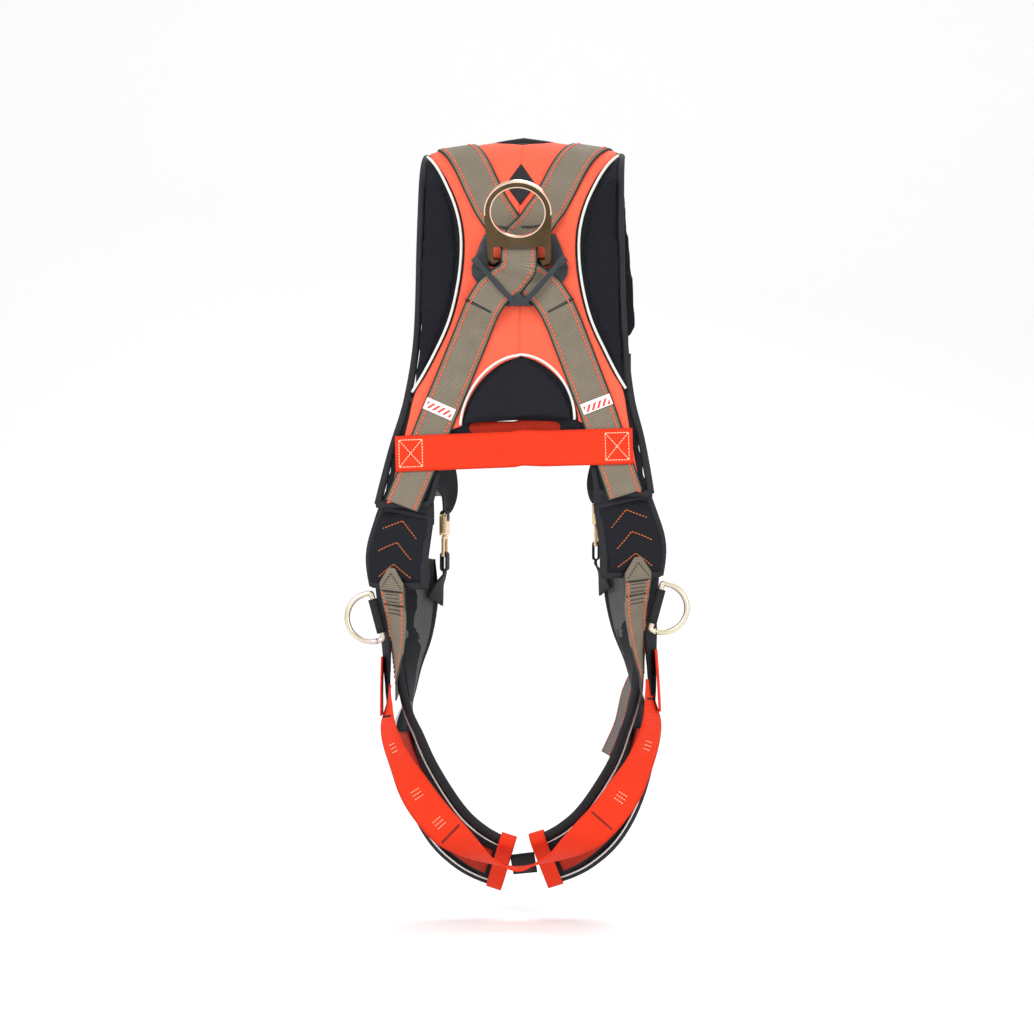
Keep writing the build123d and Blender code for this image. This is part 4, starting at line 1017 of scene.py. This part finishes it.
def edge_stitches(piece, band, inset, lift, start=0.0, end=None):
    """Two rows of stitches beside the edges of a strap."""
    end = band.length if end is None else end
    steps = max(2, round((end - start) / 26))
    for out in (-1, 1):
        line = []
        for k in range(steps + 1):
            along = start + (end - start) * k / steps
            line.append((along, out * (band.at(along)[3] / 2 - inset)))
        piece.stitches(band, line, lift)


def make_crossing():
    """The two crossing straps, their stitching, bar tacks and inspection labels."""
    top = WEB_THICK / 2
    for side, hand in SIDES:
        lift = UPPER_LIFT if side < 0 else 0.0
        band = crossing_band(side, lift)
        laid("crossing_strap_" + hand, band, "cross_webbing", FINISHES.grey_web, ["cross_strap_" + hand],
             step=4.0)
        piece = Piece()
        edge_stitches(piece, band, 6.0, top)
        piece.finish("crossing_stitches_" + hand, ROOT, "cross_webbing", FINISHES.orange_thread, merge=False)
        piece = Piece()
        for first, second in (((-side * 4, -107), (-side * 29, -107)),
                              ((side * 65, -196), (side * 35, -214))):
            piece.tack(band, band.spot(*first), band.spot(*second), top)
        piece.finish("crossing_tacks_" + hand, ROOT, "cross_webbing", FINISHES.black_thread, merge=False)
        ends = [(TAG_X - STRAP_RUN[0] * half, TAG_Z + STRAP_RUN[1] * half, WEB_LEVEL + WEB_PITCH)
                for half in (TAG_HALF, -TAG_HALF)]
        laid("inspection_label_" + hand, form_band(on_back(ends, side), 39, ease=0), "tag_label",
             FINISHES.label, ["indicator_tag_" + hand], thick=0.8, step=2.0, lift=-0.7, curl=0.2, wave=0.1)


def make_waist():
    """The strap across the back of the waist, with a boxed cross sewn at each end."""
    points = []
    for k in range(9):
        share = k / 4 - 1
        x = share * WAIST_HALF - SWAY
        points.append((x, down_back(x, WAIST_Z + share * WAIST_RISE), WEB_LEVEL + WEB_PITCH + 0.3))
    band = form_band(points, WEB_WIDTH, ease=0)
    laid("waist_band", band, "orange_webbing", FINISHES.red_web, ["waist_strap"], step=4.0, wave=0.35)
    piece = Piece()
    top = WEB_THICK / 2 + STITCH_LIFT
    for start, end in ((5.0, 34.0), (band.length - 34.0, band.length - 5.0)):
        low, high = -BOX_HALF, BOX_HALF
        corners = [(start, low), (end, low), (end, high), (start, high), (start, low)]
        for line in (corners, [(start, low), (end, high)], [(end, low), (start, high)]):
            piece.stitches(band, line, top, pitch=3.8, length=3.0, radius=0.6)
    piece.finish("waist_cross_stitches", ROOT, "orange_webbing", FINISHES.cream_thread, merge=False)


# ---------------------------------------------------------------- dorsal plate and ring
def make_dorsal():
    """The moulded back plate and the forged ring."""
    hardware("dorsal_plate", "dorsal_slip_plate", ROOT, "plate_plastic", FINISHES.plate, 0.9)
    hardware("dorsal_ring", "dorsal_attachment_ring", "dorsal_ring", "ring_steel", FINISHES.ring, 1.5, 4)


# ---------------------------------------------------------------- hips
def make_hips():
    """Hip pads with chevron quilting, and the grey webbing that carries the side rings."""
    for side, hand in SIDES:
        pad("hip_pad_" + hand, "hip_cushion_" + hand, "pad_fabric", FINISHES.padding, voxel=4.5, cap=3.0)
        face = station_band(side_stations(side, HIP_PAD), rise=HIP_PAD_THICK / 2)
        piece = Piece()
        for start in (14, 42, 70):
            line = [(start + 17, -25), (start, 0), (start + 17, 25)]
            piece.stitches(face, line, 1.0, pitch=4.6, length=3.4, radius=0.8)
        piece.finish("hip_chevrons_" + hand, ROOT, "pad_fabric", FINISHES.rust_thread, merge=False)
        run = station_band(side_stations(side, HIP_PAD))
        piece = Piece()
        for edge in (-1, 1):
            points = [run.point(mark, edge * (run.at(mark)[3] / 2 - 5.0)) for mark in run.marks]
            piece.tube(points, HIP_EDGE_RADIUS * MM)
        for mark in (2.5, run.length - 2.5):
            half = run.at(mark)[3] / 2 - 5.0
            piece.tube([run.point(mark, half * k / 6) for k in range(-6, 7)], HIP_EDGE_RADIUS * MM)
        piece.finish("hip_cushion_binding_" + hand, ROOT, "pad_fabric", FINISHES.tape)
        laid("hip_cushion_joint_" + hand, station_band(side_stations(side, HIP_JOINT)), "pad_fabric",
             FINISHES.tape, thick=4.0, step=4.0)
        laid("hip_side_cloth_" + hand, station_band(side_stations(side, HIP_SIDE)), "pad_fabric",
             FINISHES.padding, thick=2.4, step=5.0, wave=0.6)
        band = station_band(side_stations(side, HIP_WEB))
        laid("hip_strap_" + hand, band, "cross_webbing", FINISHES.hip_web, ["hip_webbing_" + hand],
             step=4.0, wave=0.5, taper=34.0)
        piece = Piece()
        top = WEB_THICK / 2 + STITCH_LIFT
        for start in (30, 48):
            piece.tack(band, (start, -BOX_HALF), (start, BOX_HALF), top, wide=2.6)
        for row in (34, 39, 44, 54, 59):
            piece.stitches(band, [(row, -11), (row, 11)], top, pitch=2.8, length=1.6, radius=0.8)
        piece.stitches(band, [(26, -16), (7, 0), (26, 16)], top, pitch=4.0, length=2.8, radius=0.7)
        piece.finish("hip_tacks_" + hand, ROOT, "cross_webbing", FINISHES.black_thread, merge=False)
        piece = Piece()
        edge_stitches(piece, band, 5.0, top, start=30, end=band.length - 20)
        piece.finish("hip_stitches_" + hand, ROOT, "cross_webbing", FINISHES.orange_thread, merge=False)


def make_side_rings():
    """The forged side rings and the folded webbing that holds each one."""
    for side, hand in SIDES:
        x, z = hang(side, RING_SEAT[0], RING_SEAT[2])
        seat = Vector((x, RING_SEAT[1], z))
        out = Vector((side * math.cos(RING_DROOP), 0, -math.sin(RING_DROOP)))
        up = Vector((side * math.sin(RING_DROOP), 0, math.cos(RING_DROOP)))
        points = []
        for k in range(41):
            angle = math.pi * (k / 40 - 0.5)
            points.append(seat + out * (SIDE_RING_LEG + SIDE_RING_R * math.cos(angle))
                          + up * SIDE_RING_R * math.sin(angle))
        corner = 3.0
        for end in (1, -1):
            for k in range(7):
                angle = math.pi / 2 * k / 6
                a, b = (math.cos(angle), math.sin(angle)) if end < 0 else (math.sin(angle), math.cos(angle))
                points.append(seat + out * corner * (1 - a) + up * end * (SIDE_RING_R - corner * (1 - b)))
            if end > 0:
                points += [seat + up * SIDE_RING_R * (1 - 2 * k / 12) for k in range(2, 11)]
        points.append(points[0])
        piece = Piece()
        piece.tube([p * MM for p in points], SIDE_RING_WIRE * MM, sides=16)
        piece.finish("side_d_ring_" + hand, "side_ring_" + hand, "side_ring_steel", FINISHES.side_ring,
                     ["side_ring_" + hand])
        piece = Piece()
        hold = SIDE_RING_WIRE + 0.4 + WEB_THICK / 2
        piece.loop(seat, out, Vector((0, 1, 0)), up, hold, hold, SLEEVE_HIGH, hold - 0.1)
        piece.finish("side_ring_holder_" + hand, ROOT, "black_webbing", FINISHES.black_web,
                     ["side_ring_loop_" + hand], thick=WEB_THICK)


# ---------------------------------------------------------------- legs and seat
def make_legs():
    """Leg pads with their lining and binding, leg webbing, loops, links and the hanging tail."""
    for side, hand in SIDES:
        stations = side_stations(side, LEG_PAD)
        pad("leg_pad_" + hand, "leg_cushion_" + hand, "pad_fabric", FINISHES.padding, voxel=5.0, cap=2.8)
        run = station_band(stations, pieces=4)
        piece = Piece()
        for edge in (-1, 1):
            points = [run.point(mark, edge * (run.at(mark)[3] / 2 - 1.0)) for mark in run.marks]
            piece.tube(points, LEG_EDGE_RADIUS * MM)
        piece.finish("leg_pad_binding_" + hand, ROOT, "pad_fabric", FINISHES.tape)
        piece = Piece()
        for edge in (-1, 1):
            points = [run.point(mark, edge * (run.at(mark)[3] / 2 - 7.5), -LEG_PAD_THICK / 2)
                      for mark in run.marks[14:]]
            piece.tube(points, 1.2 * MM, sides=6)
        piece.finish("leg_pad_piping_" + hand, ROOT, "piping", FINISHES.piping)
        laid("leg_pad_lining_" + hand, run, "pad_fabric", FINISHES.lining, thick=0.8,
             lift=LEG_PAD_THICK / 2 + 0.7, width=70, step=6.0, cells=10, curl=1.4)
        rise = LEG_PAD_THICK / 2 + LAYER_GAP + WEB_THICK / 2
        sewn = station_band(stations, rise=-rise, width=WEB_WIDTH)
        # the sewn leg strap takes the darkened copy of the red webbing: painted shade, as it lies in the shadow
        # of the hanging strap
        laid("leg_strap_sewn_" + hand, sewn, "orange_webbing", FINISHES.dark_web, ["leg_webbing_" + hand],
             start=sewn.marks[5 * 6], end=sewn.length - 22, step=5.0, curl=-0.3)
        laid("leg_tie_" + hand, station_band(side_stations(side, LEG_LINK)), "orange_webbing",
             FINISHES.red_web, ["leg_link_" + hand], step=5.0)
        last, before = stations[-1], stations[-2]
        middle = last[0] * 0.7 + before[0] * 0.3
        along = (last[0] - before[0]).normalized()
        across = (last[1] - along * along.dot(last[1])).normalized()
        inner_half = LEG_PAD_THICK / 2 + LAYER_GAP + WEB_THICK + 1.0
        piece = Piece()
        piece.loop(middle, across, along.cross(across), along, last[2] / 2 + 4 + WEB_THICK / 2,
                   inner_half + WEB_THICK / 2, 20.0, 7.0)
        piece.finish("crotch_keeper_" + hand, ROOT, "orange_webbing", FINISHES.red_web,
                     ["crotch_loop_" + hand], thick=WEB_THICK)
    make_seat()
    ends = []
    for side, _ in SIDES:
        stations = side_stations(side, LEG_PAD)
        last, before = stations[-1], stations[-2]
        ends.append((last[0] + (last[0] - before[0]).normalized() * 7.0, last[1], 34.0))
    laid("crotch_tie", station_band(ends, hint=Vector((0, 0, -1))), "black_webbing", FINISHES.black_web,
         ["crotch_link"], thick=2 * WEB_THICK, step=3.0)
    tail = station_band(side_stations(1, STRAP_TAIL))
    laid("leg_strap_tail", tail, "tail_webbing", FINISHES.tail_web, ["strap_tail_right"], step=4.0, wave=0.6)
    piece = Piece()
    edge_stitches(piece, tail, 4.0, -WEB_THICK / 2 - STITCH_LIFT)
    edge_stitches(piece, tail, 4.0, WEB_THICK / 2 + STITCH_LIFT)
    piece.finish("leg_strap_tail_stitches", ROOT, "tail_webbing", FINISHES.orange_thread, merge=False)


def make_seat():
    """The strap under the seat, with its bar tacks."""
    left, right = side_stations(-1, SEAT), side_stations(1, SEAT)
    band = station_band(left + right[-2::-1])
    laid("seat_webbing", band, "orange_webbing", FINISHES.red_web, ["seat_strap"], step=5.0, wave=0.6)
    piece = Piece()
    top = WEB_THICK / 2 + STITCH_LIFT
    for x, z in ((-90, -865), (-172, -720), (100, -852), (165, -697)):
        along = band.near(x, z)
        piece.tack(band, (along, -BOX_HALF), (along, BOX_HALF), top, wide=2.6)
    piece.finish("seat_tacks", ROOT, "orange_webbing", FINISHES.black_thread, merge=False)
    piece = Piece()
    for x, z in ((-160, -755), (-128, -812), (-100, -850), (150, -755), (120, -815)):
        along = band.near(x, z)
        for shift in (-5, 0, 5):
            line = [(along + shift, -7), (along + shift, 7)]
            piece.stitches(band, line, top, pitch=3.4, length=2.4, radius=0.6)
    piece.finish("seat_marks", ROOT, "orange_webbing", FINISHES.cream_thread, merge=False)


# ---------------------------------------------------------------- buckles, front straps and chest strap
BUCKLE_LENGTH = 27.0
BAR_DEPTH = 4.0
TONGUE_FRAME = 28.0
TONGUE_THICK = 4.0
TONGUE_TRAVEL = 16.0
BUCKLE_THICK = 9.0
FIT_GAP = 0.4
RECEIVER_FOLD = -BUCKLE_LENGTH + BAR_DEPTH + FIT_GAP + WEB_THICK
TONGUE_FOLD = TONGUE_FRAME - BAR_DEPTH - FIT_GAP - WEB_THICK
TONGUE_LOOP_END = TONGUE_FRAME + TONGUE_TRAVEL + FIT_GAP + WEB_THICK
RECEIVER_LOOP_END = -BUCKLE_LENGTH - 5.0
BAR_THICK_RECEIVER = BUCKLE_THICK - 5.0


def add_fold(piece, origin, pull, across, fold, end, bar_thick, width):
    """Webbing folded round a buckle's bar, between two distances along the pull."""
    half = abs(end - fold) / 2 - WEB_THICK / 2
    deep = bar_thick / 2 + FIT_GAP + WEB_THICK / 2
    centre = origin + pull * ((fold + end) / 2)
    piece.loop(centre, pull, pull.cross(across), across, half, deep, width, min(half, deep) * 0.9)


def buckle(name, body_receiver, body_tongue):
    """Both halves of a quick-connect buckle."""
    hardware(name + "_receiver", name + "_housing", body_receiver, "buckle_steel", FINISHES.gold, 0.7)
    hardware(name + "_tongue", name + "_blade", body_tongue, "buckle_steel", FINISHES.gold, 0.5)


def make_chest():
    """Chest strap, its buckle, the front straps and the lanyard plates."""
    buckle("chest_buckle", "chest_strap", "chest_tongue")
    for end in ("upper", "lower"):
        hardware("chest_release_" + end, "chest_press_tab_" + end, "chest_release_" + end, "release_plastic",
                 FINISHES.red_tab, 0.4)
    origin = Vector((0, FRONT_STRAP_Y, CHEST_Z))
    pull, up = Vector((-1, 0, 0)), Vector((0, 0, 1))
    ends = {-1: (TONGUE_FOLD, TONGUE_LOOP_END, TONGUE_THICK),
            1: (RECEIVER_FOLD, RECEIVER_LOOP_END, BAR_THICK_RECEIVER)}
    for side, hand in SIDES:
        fold, end, bar = ends[side]
        piece = Piece()
        add_fold(piece, origin, pull, up, fold, end, bar, CHEST_WEB_WIDTH)
        hollow = WEB_WIDTH / 2 + 1.4
        centre = Vector((side * FRONT_STRAP_X, FRONT_STRAP_Y, CHEST_Z))
        piece.loop(centre, Vector((1, 0, 0)), Vector((0, 1, 0)), up, hollow + 1.0,
                   WEB_THICK / 2 + 0.6 + 1.0, CHEST_WEB_WIDTH, 2.2)
        span = [(origin + pull * end, up, CHEST_WEB_WIDTH),
                (Vector((side * (FRONT_STRAP_X - hollow - 1.2), FRONT_STRAP_Y, CHEST_Z)), up,
                 CHEST_WEB_WIDTH)]
        piece.band(station_band(span, hint=Vector((0, 1, 0))), step=4.0, wave=0.2)
        piece.finish("chest_band_" + hand, "chest_strap", "black_webbing", FINISHES.black_web,
                     ["chest_strap_" + hand], thick=2.0)
        places = [(FRONT_STRAP_X, FRONT_TOP), (FRONT_STRAP_X, -250), (FRONT_STRAP_X, FRONT_BEND),
                  (FRONT_STRAP_X + FRONT_LEAN, FRONT_BEND - LEAN_RUN), (FRONT_STRAP_X + FRONT_LEAN, FRONT_END)]
        stations = [(Vector((side * x, FRONT_STRAP_Y, z)), Vector((1, 0, 0)), WEB_WIDTH)
                    for x, z in places]
        band = station_band(stations, hint=Vector((0, 1, 0)), pieces=5)
        laid("front_web_" + hand, band, "cross_webbing", FINISHES.grey_web, ["front_strap_" + hand],
             step=5.0, wave=0.15, curl=0.1)
        hardware("lanyard_plate_" + hand, "lanyard_keeper_" + hand, "lanyard_plate_" + hand, "plate_plastic",
                 FINISHES.plate, 0.8)


def make_leg_buckles():
    """Leg buckles with the webbing above and below them."""
    over, under = LEG_BUCKLE[2] - RECEIVER_LOOP_END, LEG_BUCKLE[2] - TONGUE_LOOP_END
    above = [(119, 103, -374, 4, 45), (114, 94, -392, 18, 45), (106, 76, -414, 42, 45),
             (100, 56, -434, 72, 45), (98, 45, over + 6, 90, 45), (98, 45, over - 1, 90, 45)]
    below = [(98, 45, under + 1, 90, 44.4), (98, 45, under - 6, 90, 44.4), (104, 42, -550, 80, 45),
             (110, 38, -570, 66, 45)]
    for side, hand in SIDES:
        buckle("leg_buckle_" + hand, ROOT, "leg_tongue_" + hand)
        hardware("leg_release_" + hand, "leg_press_tab_" + hand, "leg_release_" + hand, "release_plastic",
                 FINISHES.red_tab, 0.4)
        x, z = hang(side, LEG_BUCKLE[0], LEG_BUCKLE[2])
        origin, pull, across = Vector((x, LEG_BUCKLE[1], z)), Vector((0, 0, -1)), Vector((0, 1, 0))
        for name, node, run, fold, end, bar in (
                ("leg_upper_web_", "leg_strap_", above, RECEIVER_FOLD, RECEIVER_LOOP_END, BAR_THICK_RECEIVER),
                ("leg_lower_web_", "leg_riser_", below, TONGUE_FOLD, TONGUE_LOOP_END, TONGUE_THICK)):
            piece = Piece()
            add_fold(piece, origin, pull, across, fold, end, bar, 44.0)
            piece.band(station_band(side_stations(side, run)), step=4.0, wave=0.2)
            piece.finish(name + hand, ROOT, "black_webbing", FINISHES.black_web, [node + hand], thick=WEB_THICK)


# ---------------------------------------------------------------- stage
CAMERA_TURN = 3.3           # degrees towards the wearer's right
CAMERA_DISTANCE = 3.6       # metres
CAMERA_LENS = 100.3         # millimetres
SWEEP_LENGTH, SWEEP_WIDTH, SWEEP_FLAT, SWEEP_BEND = 9.0, 14, 5.0, 1.6


def make_stage(look):
    """A plain pale sweep, soft studio light and the camera."""
    low = CAD_BOX[0]
    floor = Piece()

    def place(u, v):
        run, bend = v * SWEEP_LENGTH, SWEEP_BEND
        if run < SWEEP_FLAT:
            y, z = -3.0 + run, 0.0
        elif run < SWEEP_FLAT + bend * math.pi / 2:
            angle = (run - SWEEP_FLAT) / bend
            y, z = 2.0 + bend * math.sin(angle), bend * (1 - math.cos(angle))
        else:
            y, z = 2.0 + bend, bend + run - SWEEP_FLAT - bend * math.pi / 2
        return Vector(((u - 0.5) * SWEEP_WIDTH, y, low.z - 0.03 + z)), (u, v)

    floor.grid(4, 90, place)
    mesh = bpy.data.meshes.new("pale_sweep")
    floor.bm.to_mesh(mesh)
    floor.bm.free()
    for polygon in mesh.polygons:
        polygon.use_smooth = True
    sweep = bpy.data.objects.new("pale_sweep", mesh)
    bpy.context.scene.collection.objects.link(sweep)
    paper = Finish("pale paper", roughness=0.9)
    grain = paper.clouds(300.0)
    mesh.materials.append(paper.done(paper.mix(grain, (0.88, 0.88, 0.88), (0.9, 0.9, 0.9))))
    world = bpy.data.worlds.new("soft studio")
    world.use_nodes = True
    world.node_tree.nodes["Background"].inputs["Color"].default_value = (1.0, 1.0, 1.0, 1.0)
    world.node_tree.nodes["Background"].inputs["Strength"].default_value = look.ambient
    bpy.context.scene.world = world
    bpy.context.scene.view_settings.view_transform = "Standard"
    aim = Vector((-0.005, -0.08, -0.4675))
    lights = (("key", (-1.6, -2.2, 1.1), 1.6, look.key), ("fill", (2.0, -1.8, 0.2), 1.8, look.fill),
              ("rim", (0.4, 1.5, 1.6), 1.4, look.rim))
    for name, place, size, power in lights:
        lamp = bpy.data.lights.new(name, "AREA")
        lamp.size = size
        lamp.energy = power
        made = bpy.data.objects.new(name, lamp)
        bpy.context.scene.collection.objects.link(made)
        made.location = place
        made.rotation_euler = (aim - Vector(place)).to_track_quat("-Z", "Y").to_euler()
    azimuth, distance = math.radians(CAMERA_TURN), CAMERA_DISTANCE
    data = bpy.data.cameras.new("camera")
    data.sensor_width = 36.0
    data.lens = CAMERA_LENS
    camera = bpy.data.objects.new("camera", data)
    bpy.context.scene.collection.objects.link(camera)
    camera.location = aim + Vector((math.sin(azimuth), -math.cos(azimuth), 0)) * distance
    camera.rotation_euler = (aim - camera.location).to_track_quat("-Z", "Y").to_euler()
    bpy.context.scene.camera = camera


# ---------------------------------------------------------------- add-on
def colour(name, description, default):
    return bpy.props.FloatVectorProperty(name=name, description=description, default=default, subtype="COLOR",
                                         min=0.0, max=1.0)


class HARNESS_PG_colours(bpy.types.PropertyGroup):
    """Cloth colours of the harness."""
    cover: colour("Back cover", "Cloth over the back of the vest", (1.0, 0.135, 0.07))
    strap: colour("Waist and seat webbing", "Red-orange webbing", (0.80, 0.035, 0.006))
    webbing: colour("Crossing webbing", "Grey-beige webbing over the shoulders", (0.25, 0.21, 0.155))
    padding: colour("Padding", "Black cloth over the foam", (0.006, 0.0065, 0.009))


class HARNESS_PG_look(bpy.types.PropertyGroup):
    """Light on the stage."""
    ambient: bpy.props.FloatProperty(name="Ambient", description="Light from all round", default=0.85)
    key: bpy.props.FloatProperty(name="Key", description="Main light", default=55.0, unit="POWER")
    fill: bpy.props.FloatProperty(name="Fill", description="Light from the other side", default=28.0,
                                  unit="POWER")
    rim: bpy.props.FloatProperty(name="Rim", description="Light from the wearer's side", default=30.0,
                                 unit="POWER")


def maker(idname, title, words, work):
    """An operator class that runs one maker."""
    def execute(self, context):
        work()
        return {"FINISHED"}

    return type("HARNESS_OT_" + idname, (bpy.types.Operator,),
                {"bl_idname": "harness." + idname, "bl_label": title, "__doc__": words, "execute": execute})


MAKERS = [
    maker("finishes", "Make finishes", "Make every material",
          lambda: make_finishes(bpy.context.scene.harness_colours)),
    maker("stage", "Make stage", "Floor, light and camera",
          lambda: make_stage(bpy.context.scene.harness_look)),
    maker("vest", "Make vest", "Back, cushions, piping and chest pads", make_vest),
    maker("crossing", "Make crossing straps", "Crossing straps with stitches and labels", make_crossing),
    maker("waist", "Make waist strap", "Waist strap with boxed crosses", make_waist),
    maker("dorsal", "Make dorsal hardware", "Back plate and ring", make_dorsal),
    maker("hips", "Make hips", "Hip pads and hip webbing", make_hips),
    maker("side_rings", "Make side rings", "Side rings and their folded webbing", make_side_rings),
    maker("legs", "Make legs and seat", "Leg pads, leg webbing and seat strap", make_legs),
    maker("chest", "Make chest strap", "Chest strap, front straps and lanyard plates", make_chest),
    maker("leg_buckles", "Make leg buckles", "Leg buckles and their webbing", make_leg_buckles),
]


class HARNESS_PT_panel(bpy.types.Panel):
    """Sidebar panel that lists the makers."""
    bl_idname = "HARNESS_PT_panel"
    bl_label = "Harness"
    bl_space_type = "VIEW_3D"
    bl_region_type = "UI"
    bl_category = "Harness"

    def draw(self, context):
        for name in ("cover", "strap", "webbing", "padding"):
            self.layout.prop(context.scene.harness_colours, name)
        for operator in MAKERS:
            self.layout.operator(operator.bl_idname)


CLASSES = [HARNESS_PG_colours, HARNESS_PG_look, *MAKERS, HARNESS_PT_panel]


def register():
    for cls in CLASSES:
        bpy.utils.register_class(cls)
    bpy.types.Scene.harness_colours = bpy.props.PointerProperty(type=HARNESS_PG_colours)
    bpy.types.Scene.harness_look = bpy.props.PointerProperty(type=HARNESS_PG_look)


def unregister():
    del bpy.types.Scene.harness_look
    del bpy.types.Scene.harness_colours
    for cls in reversed(CLASSES):
        bpy.utils.unregister_class(cls)


def main():
    register()
    for operator in MAKERS:
        getattr(bpy.ops.harness, operator.bl_idname.split(".")[1])()
    bpy.context.view_layer.update()


if __name__ == "__main__":
    main()
